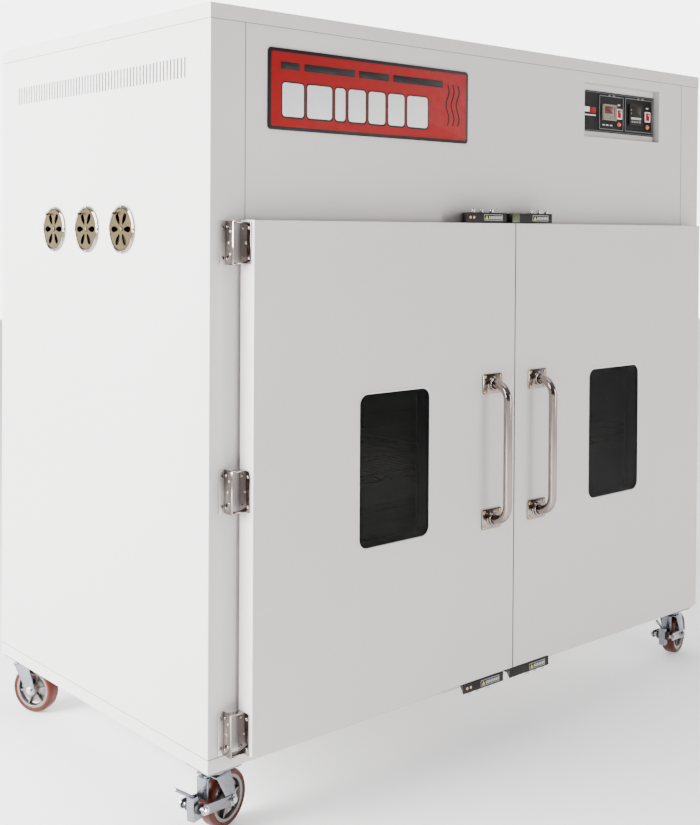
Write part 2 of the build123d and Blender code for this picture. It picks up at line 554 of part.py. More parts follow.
# ---- door catches over and under the closing edges ------------------------------------------------
CATCH_Y0 = -55.0
CATCH_H = 24.0
CATCH_GAP = 2.0
CATCH_SLANT = 44.0        # how far the left side runs to the right on its way back
PLUNGER_R = 5.0
PLUNGER_Y = -32.0
CATCH_SPANS = {"left": (718.0, 865.0), "right": (884.0, 1043.0)}
PLUNGER_X = {"left": 770.0, "right": 933.0}
CATCH_TOP_Z = DOOR_Z1 + CATCH_GAP
CATCH_LOW_Z = DOOR_Z0 - CATCH_GAP - CATCH_H
CATCH_WALL = 3.0          # housing left beyond the plunger's bore
with BuildPart() as catch_housings:
    for side, (span_x0, span_x1) in CATCH_SPANS.items():
        for floor_z in [CATCH_TOP_Z, CATCH_LOW_Z]:
            with BuildSketch(Plane.XY.offset(floor_z)) as footprint:
                with BuildLine():
                    Polyline((span_x0, CATCH_Y0), (span_x1, CATCH_Y0), (span_x1, 0),
                             (span_x0 + CATCH_SLANT, 0), close=True)
                make_face()
            extrude(footprint.sketch, amount=CATCH_H)
        rod_z(PLUNGER_X[side], PLUNGER_Y, CATCH_TOP_Z - 1, CATCH_TOP_Z + CATCH_H - CATCH_WALL,
              PLUNGER_R + FIT, mode=Mode.SUBTRACT)
        rod_z(PLUNGER_X[side], PLUNGER_Y, CATCH_LOW_Z + CATCH_WALL, CATCH_LOW_Z + CATCH_H + 1,
              PLUNGER_R + FIT, mode=Mode.SUBTRACT)
write(catch_housings.part, "catch_housings")


def plunger(x, tip_z, tail):
    """Spring plunger of a catch; tail is +1 over the door and -1 under it."""
    with BuildPart() as pin:
        ends = sorted([tip_z, tip_z + tail * 14])
        rod_z(x, PLUNGER_Y, ends[0], ends[1], PLUNGER_R)
        chamfer(pin.edges().filter_by(GeomType.CIRCLE).sort_by(Axis.Z)[0 if tail > 0 else -1], 1.2)
    return pin.part


for side in CATCH_SPANS:
    write(plunger(PLUNGER_X[side], DOOR_Z1 + 0.4, 1), f"{side}_upper_catch_plunger")
    write(plunger(PLUNGER_X[side], DOOR_Z0 - 0.4, -1), f"{side}_lower_catch_plunger")

# ---- doors --------------------------------------------------------------------------------------
PAN_T = 1.5
WIN_MID = ((WIN_X0 + WIN_X1) / 2, (WIN_Z0 + WIN_Z1) / 2)
WIN_SIZE = (WIN_X1 - WIN_X0, WIN_Z1 - WIN_Z0)


def window_slab(y0, y1, grow, mode=Mode.ADD):
    """Rounded slab in the shape of the window, grown all round, between two depths."""
    with BuildSketch(front_plane(y1)) as outline:
        with Locations(WIN_MID):
            RectangleRounded(WIN_SIZE[0] + 2 * grow, WIN_SIZE[1] + 2 * grow, WIN_R + grow)
    extrude(outline.sketch, amount=y1 - y0, mode=mode)


with BuildPart() as door_skin:
    slab(DOOR_X0, DOOR_X1, DOOR_FRONT, DOOR_BACK, DOOR_Z0, DOOR_Z1)
    fillet(door_skin.edges().filter_by(Axis.Y, reverse=True).group_by(Axis.Y)[0], 1.2)
    slab(DOOR_X0 + PAN_T, DOOR_X1 - PAN_T, DOOR_FRONT + PAN_T, DOOR_BACK + 1,
         DOOR_Z0 + PAN_T, DOOR_Z1 - PAN_T, mode=Mode.SUBTRACT)
    window_slab(DOOR_FRONT - 1, DOOR_BACK, 0, mode=Mode.SUBTRACT)

LINER_LIP = 0.2
with BuildPart() as door_liner:
    slab(DOOR_X0 + PAN_T + LINER_LIP, DOOR_X1 - PAN_T - LINER_LIP, DOOR_BACK - 14, DOOR_BACK,
         DOOR_Z0 + PAN_T + LINER_LIP, DOOR_Z1 - PAN_T - LINER_LIP)
    slab(DOOR_X0 + 2 * PAN_T, DOOR_X1 - 2 * PAN_T, DOOR_BACK - 15, DOOR_BACK - PAN_T,
         DOOR_Z0 + 2 * PAN_T, DOOR_Z1 - 2 * PAN_T, mode=Mode.SUBTRACT)
    window_slab(DOOR_FRONT, DOOR_BACK + 1, -6, mode=Mode.SUBTRACT)

PANE_T = 4.0
with BuildPart() as door_glass:
    window_slab(DOOR_FRONT + PAN_T, DOOR_FRONT + PAN_T + PANE_T, 9)
    window_slab(DOOR_BACK - PAN_T - PANE_T, DOOR_BACK - PAN_T, 9)

RIM_W = 5.0
with BuildPart() as window_rim:
    window_slab(DOOR_FRONT - 1.2, DOOR_FRONT + PAN_T, 0)
    window_slab(DOOR_FRONT - 2, DOOR_FRONT + 2 * PAN_T, -RIM_W, mode=Mode.SUBTRACT)

GASKET_EDGE = 9.0
GASKET_W = 16.0
with BuildPart() as door_gasket:
    with BuildSketch(front_plane(-0.4)):
        with Locations(((DOOR_X0 + DOOR_X1) / 2, (DOOR_Z0 + DOOR_Z1) / 2)):
            RectangleRounded(DOOR_X1 - DOOR_X0 - 2 * GASKET_EDGE, DOOR_Z1 - DOOR_Z0 - 2 * GASKET_EDGE, 12)
            RectangleRounded(DOOR_X1 - DOOR_X0 - 2 * GASKET_EDGE - 2 * GASKET_W,
                             DOOR_Z1 - DOOR_Z0 - 2 * GASKET_EDGE - 2 * GASKET_W, 6, mode=Mode.SUBTRACT)
    extrude(amount=-0.4 - DOOR_BACK)

HANDLE_BEND = 38.0
PLATE_W, PLATE_H, PLATE_T = 72.0, 50.0, 3.0
SOCKET_R, SOCKET_D = 16.0, 9.0
HANDLE_FOOT_Y = DOOR_FRONT - PLATE_T
with BuildPart() as door_handle:
    with BuildLine() as grip_line:
        FilletPolyline((HANDLE_X, HANDLE_FOOT_Y, HANDLE_Z0), (HANDLE_X, HANDLE_Y, HANDLE_Z0),
                       (HANDLE_X, HANDLE_Y, HANDLE_Z1), (HANDLE_X, HANDLE_FOOT_Y, HANDLE_Z1),
                       radius=HANDLE_BEND)
    with BuildSketch(front_plane(HANDLE_FOOT_Y)):
        with Locations((HANDLE_X, HANDLE_Z0)):
            Circle(HANDLE_R)
    sweep()
    for foot_z in [HANDLE_Z0, HANDLE_Z1]:
        with BuildSketch(front_plane(DOOR_FRONT)):
            with Locations((HANDLE_X, foot_z)):
                RectangleRounded(PLATE_W, PLATE_H, 6)
        extrude(amount=PLATE_T)
        rod_y(HANDLE_X, HANDLE_FOOT_Y - SOCKET_D, HANDLE_FOOT_Y, foot_z, SOCKET_R)

SCREW_R = 3.0
SCREW_HEAD_R = 4.5
HEAD_T = 2.0
with BuildPart() as door_screws:
    for foot_z in [HANDLE_Z0, HANDLE_Z1]:
        with Locations((HANDLE_X, 0, foot_z)):
            with Locations(*[Location((sx * 28, HANDLE_FOOT_Y - HEAD_T / 2, sz * 18), (90, 0, 0))
                             for sx in (-1, 1) for sz in (-1, 1)]):
                Cylinder(SCREW_HEAD_R, HEAD_T)
    for mid_z in HINGE_Z:
        for screw_y, screw_z in [(-18, 32), (-40, 32), (-29, 0), (-18, -32), (-40, -32)]:
            rod_x(LEAF_X - HINGE_T - HEAD_T, LEAF_X - HINGE_T, screw_y, mid_z + screw_z, 3.5)

LEFT_DOOR = [(door_skin, "door_skin"), (door_liner, "door_liner"), (door_glass, "door_glass"),
             (window_rim, "window_rim"), (door_gasket, "door_gasket"), (door_handle, "door_handle"),
             (door_screws, "door_screws")]
for piece, piece_name in LEFT_DOOR:
    write(piece.part, f"left_{piece_name}")
    write(mirrored(piece.part), f"right_{piece_name}")

# ---- fixed screws, cable gland --------------------------------------------------------------------
CATCH_SCREW_X = {"left": [752.0, 781.0, 819.0], "right": [970.0, 1000.0, 1030.0]}
CATCH_SCREW_Y = -45.0
with BuildPart() as frame_screws:
    for mid_z in HINGE_Z:
        for screw_z in [-32, 32]:
            rod_y(FLANGE_X0 + 6.5, -HINGE_T - HEAD_T, -HINGE_T, mid_z + screw_z, 3.5)
            rod_y(CAB_W - FLANGE_X0 - 6.5, -HINGE_T - HEAD_T, -HINGE_T, mid_z + screw_z, 3.5)
    for side in CATCH_SPANS:
        for screw_x in CATCH_SCREW_X[side]:
            rod_z(screw_x, CATCH_SCREW_Y, CATCH_TOP_Z + CATCH_H, CATCH_TOP_Z + CATCH_H + 9, 5)
            rod_z(screw_x, CATCH_SCREW_Y, CATCH_LOW_Z - 6, CATCH_LOW_Z, 5)
    for vent_y in DAMPER_Y:
        with Locations(Location((-DAMPER_T - 4.5, vent_y, DAMPER_Z), (0, 90, 0))):
            with PolarLocations(52.7, 4, start_angle=0):
                Cylinder(2.6, 2)
write(frame_screws.part, "frame_screws")

with BuildPart() as cable_gland:
    rod_y(GLAND_X, CAB_D - 12, CAB_D + 22, GLAND_Z, GLAND_R - 0.05)
    with BuildSketch(Plane(origin=(GLAND_X, CAB_D, GLAND_Z), x_dir=(1, 0, 0), z_dir=(0, 1, 0))):
        RegularPolygon(17, 6)
    extrude(amount=8)
    with BuildSketch(Plane(origin=(GLAND_X, CAB_D + 12, GLAND_Z), x_dir=(1, 0, 0), z_dir=(0, 1, 0))):
        RegularPolygon(15, 6)
    extrude(amount=10)
    rod_y(GLAND_X, CAB_D - 20, CAB_D + 30, GLAND_Z, 6.5, mode=Mode.SUBTRACT)
write(cable_gland.part, "cable_gland")

# ---- casters ----------------------------------------------------------------------------------------
# Each caster is drawn about its swivel line: +x is where the wheel trails.
MOUNT_PLATE = 92.0
MOUNT_T = 5.0
KINGPIN_R = 8.0
LEG_IN = 24.0
LEG_T = 4.0
AXLE_R = 6.0
BOLT_X, BOLT_Z = -64.0, -73.0      # brake bolt
ARM_T = 3.0
FAR_INSET = CAB_D - SWIVEL_INSET
CASTERS = {
    "front_left": (SWIVEL_INSET, SWIVEL_INSET, FRONT_TURN),
    "front_right": (CAB_W - SWIVEL_INSET, SWIVEL_INSET, FRONT_TURN),
    "rear_left": (SWIVEL_INSET, FAR_INSET, REAR_TURN),
    "rear_right": (CAB_W - SWIVEL_INSET, FAR_INSET, REAR_TURN),
}


def upright(points, y0, y1, rounds):
    """Plate standing along x and z: a hull of straight edges with round ends."""
    with BuildSketch(Plane(origin=(0, y1, 0), x_dir=(1, 0, 0), z_dir=(0, -1, 0))) as outline:
        with BuildLine():
            Polyline(*points, close=True)
        make_face()
        for round_x, round_z, round_r in rounds:
            with Locations((round_x, round_z)):
                Circle(round_r)
    extrude(outline.sketch, amount=y1 - y0)


with BuildPart() as caster_plates:
    for swivel_x, swivel_y, _ in CASTERS.values():
        slab(swivel_x - MOUNT_PLATE / 2, swivel_x + MOUNT_PLATE / 2, swivel_y - MOUNT_PLATE / 2,
             swivel_y + MOUNT_PLATE / 2, -MOUNT_T, 0)
        rod_z(swivel_x, swivel_y, -24, -MOUNT_T, KINGPIN_R)
        for bolt_x in (-36, 36):
            for bolt_y in (-36, 36):
                rod_z(swivel_x + bolt_x, swivel_y + bolt_y, -MOUNT_T - 4, -MOUNT_T, 6)
write(caster_plates.part, "caster_plates")


def fork(with_brake):
    """Swivel fork with its axle; the braked one carries two arms and the brake bolt."""
    with BuildPart() as body:
        rod_z(0, 0, -20, -MOUNT_T - 0.4, 27)
        slab(-24, 24, -LEG_IN - LEG_T, LEG_IN + LEG_T, -24, -20)
        for leg_y in (-LEG_IN - LEG_T, LEG_IN):
            upright([(-24, -20), (24, -20), (TRAIL + 16, AXLE_Z), (TRAIL - 15, AXLE_Z - 4)],
                    leg_y, leg_y + LEG_T, [(TRAIL, AXLE_Z, 16)])
        rod_y(TRAIL, -LEG_IN - LEG_T - 6, LEG_IN + LEG_T + 6, AXLE_Z, AXLE_R)
        if with_brake:
            for arm_y in (-LEG_IN - LEG_T - ARM_T, LEG_IN + LEG_T):
                upright([(TRAIL - 6, AXLE_Z + 12), (BOLT_X, BOLT_Z + 11), (BOLT_X, BOLT_Z - 11),
                         (TRAIL, AXLE_Z - 14)], arm_y, arm_y + ARM_T, [(BOLT_X, BOLT_Z, 11)])
            rod_y(BOLT_X, -LEG_IN - LEG_T - ARM_T - 6, LEG_IN + LEG_T + ARM_T + 6, BOLT_Z, 5)
        rod_z(0, 0, -24.5, -MOUNT_T, KINGPIN_R + FIT, mode=Mode.SUBTRACT)
        rod_z(0, 0, -30, -24, KINGPIN_R + FIT, mode=Mode.SUBTRACT)
    return body.part


with BuildPart() as wheel:
    rod_y(TRAIL, -WHEEL_W / 2, WHEEL_W / 2, AXLE_Z, WHEEL_R)
    fillet(wheel.edges().filter_by(GeomType.CIRCLE), 4)
    rod_y(TRAIL, -WHEEL_W, WHEEL_W, AXLE_Z, 50, mode=Mode.SUBTRACT)
    rod_y(TRAIL, -WHEEL_W / 2 + 2, WHEEL_W / 2 - 2, AXLE_Z, 50 - 0.02)
    rod_y(TRAIL, -WHEEL_W / 2 + 1, -6, AXLE_Z, 42, mode=Mode.SUBTRACT)
    rod_y(TRAIL, 6, WHEEL_W / 2 - 1, AXLE_Z, 42, mode=Mode.SUBTRACT)
    rod_y(TRAIL, -LEG_IN + 1, LEG_IN - 1, AXLE_Z, 17)
    rod_y(TRAIL, -WHEEL_W, WHEEL_W, AXLE_Z, AXLE_R + FIT, mode=Mode.SUBTRACT)

PEDAL_ROD = ((-3, 20), (-62, 61))  # its ends, from the brake bolt
with BuildPart() as brake_lever:
    rod_y(BOLT_X, -18, 18, BOLT_Z, 12)
    upright([(BOLT_X - 7, BOLT_Z + 23), (BOLT_X + 1, BOLT_Z + 23), (BOLT_X + 8, BOLT_Z - 8),
             (BOLT_X + 18, BOLT_Z - 22), (BOLT_X + 12, BOLT_Z - 28), (BOLT_X - 2, BOLT_Z - 27)], -10, 10, [])
    with BuildLine() as rod_line:
        Line(*[(BOLT_X + end_x, 0, BOLT_Z + end_z) for end_x, end_z in PEDAL_ROD])
    with BuildSketch(Plane(origin=rod_line.line @ 0, z_dir=rod_line.line % 0)):
        Circle(4)
    sweep()
    rod_y(BOLT_X, -40, 40, BOLT_Z, 5 + FIT, mode=Mode.SUBTRACT)

for corner, (swivel_x, swivel_y, turn) in CASTERS.items():
    at_corner = Location((swivel_x, swivel_y, 0), (0, 0, turn))
    braked = corner.startswith("front")
    write(at_corner * fork(braked), f"{corner}_fork")
    write(at_corner * wheel.part, f"{corner}_wheel")
    if braked:
        write(at_corner * brake_lever.part, f"{corner}_brake_lever")
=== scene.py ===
import json
import math

import bmesh
import bpy
from mathutils import Matrix, Vector


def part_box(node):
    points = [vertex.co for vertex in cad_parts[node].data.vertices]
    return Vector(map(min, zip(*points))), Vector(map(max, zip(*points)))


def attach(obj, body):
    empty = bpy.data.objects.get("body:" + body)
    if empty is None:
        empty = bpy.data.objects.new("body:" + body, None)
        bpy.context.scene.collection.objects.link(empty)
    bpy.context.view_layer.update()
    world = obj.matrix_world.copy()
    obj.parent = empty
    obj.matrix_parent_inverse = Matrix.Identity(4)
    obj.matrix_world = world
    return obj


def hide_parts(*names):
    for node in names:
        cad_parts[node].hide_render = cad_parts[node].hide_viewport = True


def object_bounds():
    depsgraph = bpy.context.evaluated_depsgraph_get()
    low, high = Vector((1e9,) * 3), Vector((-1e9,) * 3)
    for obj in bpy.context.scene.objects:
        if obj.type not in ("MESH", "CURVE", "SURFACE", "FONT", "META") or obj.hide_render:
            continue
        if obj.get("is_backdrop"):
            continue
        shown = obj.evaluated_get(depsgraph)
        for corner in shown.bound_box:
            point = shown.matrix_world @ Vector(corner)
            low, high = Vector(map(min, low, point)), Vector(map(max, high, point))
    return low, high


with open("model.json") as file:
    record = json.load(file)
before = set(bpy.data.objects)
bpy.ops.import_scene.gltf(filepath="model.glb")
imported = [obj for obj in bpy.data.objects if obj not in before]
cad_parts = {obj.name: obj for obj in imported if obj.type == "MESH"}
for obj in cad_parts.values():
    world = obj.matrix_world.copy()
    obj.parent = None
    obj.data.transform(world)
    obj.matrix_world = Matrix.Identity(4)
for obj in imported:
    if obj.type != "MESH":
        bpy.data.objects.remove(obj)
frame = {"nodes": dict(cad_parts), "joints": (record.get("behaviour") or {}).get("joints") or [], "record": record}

CAD_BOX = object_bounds()
JOINTS = {j["name"]: j for j in frame["joints"]}
SLOT_NAMES = {m["slot"] for m in frame["record"]["materials"]}
SIDES = ("left", "right")
MM = 0.001
X, Y, Z = Vector((1, 0, 0)), Vector((0, 1, 0)), Vector((0, 0, 1))
CORNER, FAR_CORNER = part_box("base_tray")      # the body's lower left front corner, and the one opposite
WIDTH, DEPTH = (FAR_CORNER.x - CORNER.x) / MM, (FAR_CORNER.y - CORNER.y) / MM


def at(x, y, z):
    """Point given in millimetres from the body's lower left front corner."""
    return CORNER + Vector((x, y, z)) * MM


def local_box(node):
    """Lowest and highest corners of a CAD node, in millimetres from the body's corner."""
    low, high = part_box(node)
    return [(c - o) / MM for c, o in zip(low, CORNER)], [(c - o) / MM for c, o in zip(high, CORNER)]


def sided(x, side):
    """Mirror an x for the right door."""
    return x if side == "left" else WIDTH - x


def sign(side):
    """Sign of x outward on a side."""
    return -1 if side == "left" else 1


# ---- materials ----


def map_range(tree, value, low, high, to_low, to_high, kind="LINEAR"):
    """Remap a node's value from low..high to to_low..to_high."""
    node = tree.nodes.new("ShaderNodeMapRange")
    node.interpolation_type = kind
    for socket, number in zip(("From Min", "From Max", "To Min", "To Max"), (low, high, to_low, to_high)):
        node.inputs[socket].default_value = number
    tree.links.new(value, node.inputs["Value"])
    return node.outputs["Result"]


def mix(tree, factor, first, second):
    """Mix two colours, the first of which may be another node's."""
    node = tree.nodes.new("ShaderNodeMix")
    node.data_type = "RGBA"
    tree.links.new(factor, node.inputs["Factor"])
    if isinstance(first, tuple):
        node.inputs["A"].default_value = first
    else:
        tree.links.new(first, node.inputs["A"])
    node.inputs["B"].default_value = second
    return node.outputs["Result"]


def scaled(color, share, lift=0.0):
    """Colour times a share plus a lift, held at 1."""
    return tuple(min(1, c * share + lift) for c in color)


class Finish:
    """A Principled material with short calls for the textures that drive it."""

    def __init__(self, name, color, rough, metal=0.0, **numbers):
        self.mat = bpy.data.materials.new(name)
        self.mat.use_nodes = True
        self.tree = self.mat.node_tree
        self.shader = self.tree.nodes["Principled BSDF"]
        self.place = self.tree.nodes.new("ShaderNodeTexCoord").outputs["Object"]
        self.tint = (*color, 1.0)
        self.normal = None
        self.shader.inputs["Base Color"].default_value = self.tint
        self.shader.inputs["Roughness"].default_value = rough
        self.shader.inputs["Metallic"].default_value = metal
        for socket, value in numbers.items():
            self.shader.inputs[socket.replace("_", " ")].default_value = value

    def link(self, out, socket):
        self.tree.links.new(out, socket)

    def noise(self, scale, detail, stretch=(1, 1, 1), rough=0.55, distortion=0.0):
        """Noise value over the piece; stretch squeezes it along x, y and z."""
        mapping = self.tree.nodes.new("ShaderNodeMapping")
        mapping.inputs["Scale"].default_value = stretch
        self.link(self.place, mapping.inputs["Vector"])
        node = self.tree.nodes.new("ShaderNodeTexNoise")
        node.inputs["Scale"].default_value = scale
        node.inputs["Detail"].default_value = detail
        node.inputs["Roughness"].default_value = rough
        node.inputs["Distortion"].default_value = distortion
        self.link(mapping.outputs["Vector"], node.inputs["Vector"])
        return node.outputs["Fac"]

    def shade(self, value, color):
        """Blend the colour so far towards another where value is high."""
        self.tint = mix(self.tree, value, self.tint, (*color, 1.0))
        self.link(self.tint, self.shader.inputs["Base Color"])

    def mottle(self, color, most, low, high, *noise, **options):
        """Patches of another colour, by up to a share, where a noise rises from low to high."""
        self.shade(map_range(self.tree, self.noise(*noise, **options), low, high, 0.0, most), color)

    def uneven_gloss(self, value, low, high):
        """Let the roughness follow a value."""
        self.link(map_range(self.tree, value, 0.3, 0.7, low, high), self.shader.inputs["Roughness"])

    def bump(self, value, height, strength):
        """Raise the surface by a value times height, in metres."""
        node = self.tree.nodes.new("ShaderNodeBump")
        node.inputs["Strength"].default_value = strength
        node.inputs["Distance"].default_value = height
        self.link(value, node.inputs["Height"])
        if self.normal is not None:
            self.link(self.normal, node.inputs["Normal"])
        self.normal = node.outputs["Normal"]
        self.link(self.normal, self.shader.inputs["Normal"])

    def painted_corner_shade(self, color, reach, most=0.5):
        """Darken corners and joints by ambient occlusion: painted shade where less light reaches."""
        node = self.tree.nodes.new("ShaderNodeAmbientOcclusion")
        node.inputs["Distance"].default_value = reach
        node.samples = 6
        self.shade(map_range(self.tree, node.outputs["AO"], 0.25, 0.95, most, 0.0), color)


def paint(name):
    """Powder coat: orange peel, faint speckle, slow drifts of shade, dull handling marks."""
    f = Finish(name, (0.690, 0.664, 0.646), 0.42, Coat_Weight=0.12, Coat_Roughness=0.25)
    f.mottle((0.725, 0.705, 0.700), 0.35, 0.35, 0.65, 1.1, 2)
    f.mottle((0.56, 0.545, 0.525), 0.35, 0.52, 0.75, 420, 2)
    f.mottle((0.80, 0.79, 0.78), 0.22, 0.55, 0.8, 170, 2)
    # ambient occlusion darkening: painted shade in corners and joints
    f.painted_corner_shade((0.30, 0.27, 0.25), 0.010, 0.55)
    f.uneven_gloss(f.noise(3.0, 4), 0.36, 0.50)
    f.bump(f.noise(520, 2), 0.00022, 0.55)
    f.bump(f.noise(6, 2), 0.0012, 0.12)
    return f.mat


def brushed(name, color, rough, along):
    """Sheet metal with a grain that runs along one axis."""
    stretch = tuple(6.0 if axis == along else 260.0 for axis in "xyz")
    f = Finish(name, color, rough, metal=1.0)
    f.mottle(scaled(color, 0.78), 0.35, 0.35, 0.7, 1.0, 2, stretch)
    f.mottle(scaled(color, 0.7), 0.25, 0.5, 0.75, 9, 4)
    # ambient occlusion darkening: painted shade in corners and joints
    f.painted_corner_shade(scaled(color, 0.25), 0.02, 0.4)
    f.uneven_gloss(f.noise(1.0, 2, stretch), rough - 0.06, rough + 0.1)
    f.bump(f.noise(1.0, 2, stretch), 0.00008, 0.5)
    return f.mat


def bright_metal(name, color, rough, smear=0.08, ripple=0.00015, painted_corner_shade=0.5):
    """Polished or plated metal with light smears and a slightly wavy surface."""
    f = Finish(name, color, rough, metal=1.0)
    f.mottle(scaled(color, 0.72), 0.35, 0.5, 0.78, 38, 4, rough=0.65)
    # ambient occlusion darkening: painted shade in corners and joints
    f.painted_corner_shade(scaled(color, 0.18), 0.006, painted_corner_shade)
    f.uneven_gloss(f.noise(60, 4, rough=0.7), max(0.02, rough - smear), rough + smear)
    f.bump(f.noise(55, 2), ripple, 0.3)
    f.bump(f.noise(900, 2), 0.00003, 0.25)
    return f.mat


def plastic(name, color, rough, grain=900, depth=0.00006):
    """Moulded plastic: fine grain, painted shade in the corners, rubbed patches."""
    f = Finish(name, color, rough, Specular_IOR_Level=0.22)
    f.mottle(scaled(color, 1.22, 0.002), 0.3, 0.45, 0.75, 24, 4)
    f.mottle(scaled(color, 0.7), 0.25, 0.6, 0.8, 260, 2)
    f.painted_corner_shade(scaled(color, 0.3), 0.004)
    f.uneven_gloss(f.noise(45, 4), max(0.03, rough - 0.07), rough + 0.1)
    f.bump(f.noise(grain, 2), depth, 0.45)
    return f.mat


def rubber(name, color, rough):
    """Moulded rubber: matt, bloomed, with small pits."""
    f = Finish(name, color, rough)
    f.mottle(scaled(color, 1.3, 0.02), 0.4, 0.42, 0.75, 14, 4)
    f.mottle(scaled(color, 0.6), 0.35, 0.55, 0.78, 320, 3)
    # ambient occlusion darkening: painted shade in corners and joints
    f.painted_corner_shade(scaled(color, 0.35), 0.005)
    f.uneven_gloss(f.noise(30, 4), rough - 0.12, rough + 0.12)
    f.bump(f.noise(700, 3), 0.00008, 0.5)
    return f.mat


def polyurethane(name):
    """Cast polyurethane tread: red-brown, a little translucent, scuffed on its running face."""
    f = Finish(name, (0.065, 0.011, 0.005), 0.34, Subsurface_Weight=0.08, Subsurface_Scale=0.004,
               Specular_IOR_Level=0.25)
    f.shader.inputs["Subsurface Radius"].default_value = (1.0, 0.35, 0.12)
    f.mottle((0.13, 0.024, 0.008), 0.5, 0.42, 0.74, 26, 4)
    f.mottle((0.055, 0.018, 0.012), 0.5, 0.56, 0.76, 190, 5, rough=0.7)
    # ambient occlusion darkening: painted shade in corners and joints
    f.painted_corner_shade((0.06, 0.02, 0.015), 0.006, 0.6)
    f.uneven_gloss(f.noise(70, 4), 0.28, 0.55)
    f.bump(f.noise(240, 4), 0.00018, 0.5)
    return f.mat


def glass(name):
    """Tempered door glass with a grey tint, fine scratches and a faint film."""
    f = Finish(name, (0.50, 0.50, 0.49), 0.03, Transmission_Weight=1.0, IOR=1.14)
    f.uneven_gloss(f.noise(16, 5, rough=0.7), 0.015, 0.07)
    f.mottle((0.42, 0.42, 0.41), 0.3, 0.4, 0.7, 5, 3)
    f.bump(f.noise(7, 2), 0.0004, 0.05)
    return f.mat


def glowing(name, color, glow, rough=0.2, strength=0.6):
    """Lens or display lit from behind."""
    f = Finish(name, color, rough, Coat_Weight=0.6, Coat_Roughness=0.05)
    f.shader.inputs["Emission Color"].default_value = (*glow, 1.0)
    f.shader.inputs["Emission Strength"].default_value = strength
    f.mottle(scaled(color, 0.55), 0.4, 0.45, 0.75, 220, 3)
    # ambient occlusion darkening: painted shade in corners and joints
    f.painted_corner_shade(scaled(color, 0.3), 0.003)
    f.uneven_gloss(f.noise(120, 3), max(0.03, rough - 0.08), rough + 0.1)
    f.bump(f.noise(400, 2), 0.00005, 0.4)
    return f.mat


def wool(name):
    """Mineral wool board: matted fibres."""
    f = Finish(name, (0.58, 0.52, 0.34), 0.95)
    f.mottle((0.36, 0.30, 0.18), 0.8, 0.35, 0.7, 60, 6, (1, 1, 4), 0.75, 1.2)
    f.mottle((0.80, 0.74, 0.55), 0.5, 0.5, 0.75, 420, 4, (1, 4, 1), 0.8)
    f.bump(f.noise(150, 6, (1, 1, 3), 0.8, 1.5), 0.003, 0.8)
    return f.mat


LOOKS = {
    "body_paint": (paint,),
    "liner_steel": (brushed, (0.50, 0.50, 0.49), 0.34, "x"),
    "insulation": (wool,),
    # mirror_steel is darkened and warmed: painted reflection of a dim brown room
    "mirror_steel": (bright_metal, (0.34, 0.29, 0.27), 0.09, 0.05),
    "zinc": (bright_metal, (0.235, 0.245, 0.275), 0.27, 0.1, 0.0002),
    "shelf_chrome": (bright_metal, (0.80, 0.80, 0.80), 0.12, 0.06),
    "heater_steel": (brushed, (0.20, 0.17, 0.15), 0.5, "x"),
    "motor_grey": (plastic, (0.10, 0.115, 0.13), 0.38, 300, 0.0002),
    "impeller_steel": (bright_metal, (0.60, 0.61, 0.62), 0.4, 0.1, 0.0006),
    "vent_brass": (bright_metal, (0.130, 0.095, 0.040), 0.3, 0.08, 0.0003),
    "panel_black": (plastic, (0.007, 0.005, 0.007), 0.38, 800, 0.00003),
    "nameplate_red": (plastic, (0.30, 0.0008, 0.0016), 0.5, 500, 0.00003),
    "controller_beige": (plastic, (0.24, 0.225, 0.155), 0.42),
    "timer_dark": (plastic, (0.018, 0.014, 0.012), 0.42),
    "switch_white": (plastic, (0.80, 0.79, 0.77), 0.3),
    "rocker_red": (plastic, (0.34, 0.001, 0.002), 0.3, 700, 0.00003),
    "lamp_red": (glowing, (0.62, 0.02, 0.01), (1.0, 0.05, 0.02)),
    "door_glass": (glass,),
    "rim_white": (rubber, (0.74, 0.74, 0.73), 0.5),
    "silicone_red": (rubber, (0.24, 0.045, 0.025), 0.45),
    # handle_steel is darkened and warmed: painted reflection of a dim brown room
    "handle_steel": (bright_metal, (0.31, 0.265, 0.245), 0.12, 0.06),
    "screw_gold": (bright_metal, (0.60, 0.46, 0.20), 0.28, 0.08, 0.0003),
    "catch_black": (plastic, (0.008, 0.005, 0.007), 0.42, 600, 0.00005),
    "plunger_steel": (bright_metal, (0.58, 0.58, 0.58), 0.25),
    "gland_black": (plastic, (0.03, 0.03, 0.03), 0.45),
    "tread_red": (polyurethane,),
    # hub_aluminium is dull aluminium, darkened further as painted shade on the hubs
    "hub_aluminium": (bright_metal, (0.24, 0.22, 0.215), 0.36, 0.1, 0.0005),
    "bronze_green": (bright_metal, (0.15, 0.165, 0.11), 0.34, 0.1),
    "label_pale": (plastic, (0.50, 0.49, 0.48), 0.4),
    "label_dark": (plastic, (0.020, 0.014, 0.016), 0.4),
    "label_yellow": (plastic, (0.62, 0.56, 0.12), 0.35),
    "plate_border": (plastic, (0.010, 0.007, 0.008), 0.42, 600, 0.00003),
    "plate_white": (plastic, (0.84, 0.84, 0.83), 0.4, 600, 0.00003),
    "display_red": (glowing, (0.05, 0.001, 0.002), (0.9, 0.02, 0.02), 0.35, 0.004),
    "segment_red": (glowing, (0.30, 0.003, 0.005), (1.0, 0.01, 0.01), 0.35, 0.12),
    "lamp_orange": (glowing, (0.62, 0.07, 0.01), (1.0, 0.15, 0.02)),
    "led_green": (glowing, (0.10, 0.36, 0.24), (0.2, 1.0, 0.5), 0.25, 0.35),
    "lcd_dark": (plastic, (0.020, 0.018, 0.014), 0.3, 400, 0.00002),
    "satin_steel": (bright_metal, (0.66, 0.64, 0.62), 0.48, 0.05, 0.00008, 0.3),
    "seam_brown": (rubber, (0.060, 0.026, 0.020), 0.6),
    "keys_grey": (plastic, (0.20, 0.22, 0.22), 0.4),
}
MATS = {name: make(name, *numbers) for name, (make, *numbers) in LOOKS.items()}

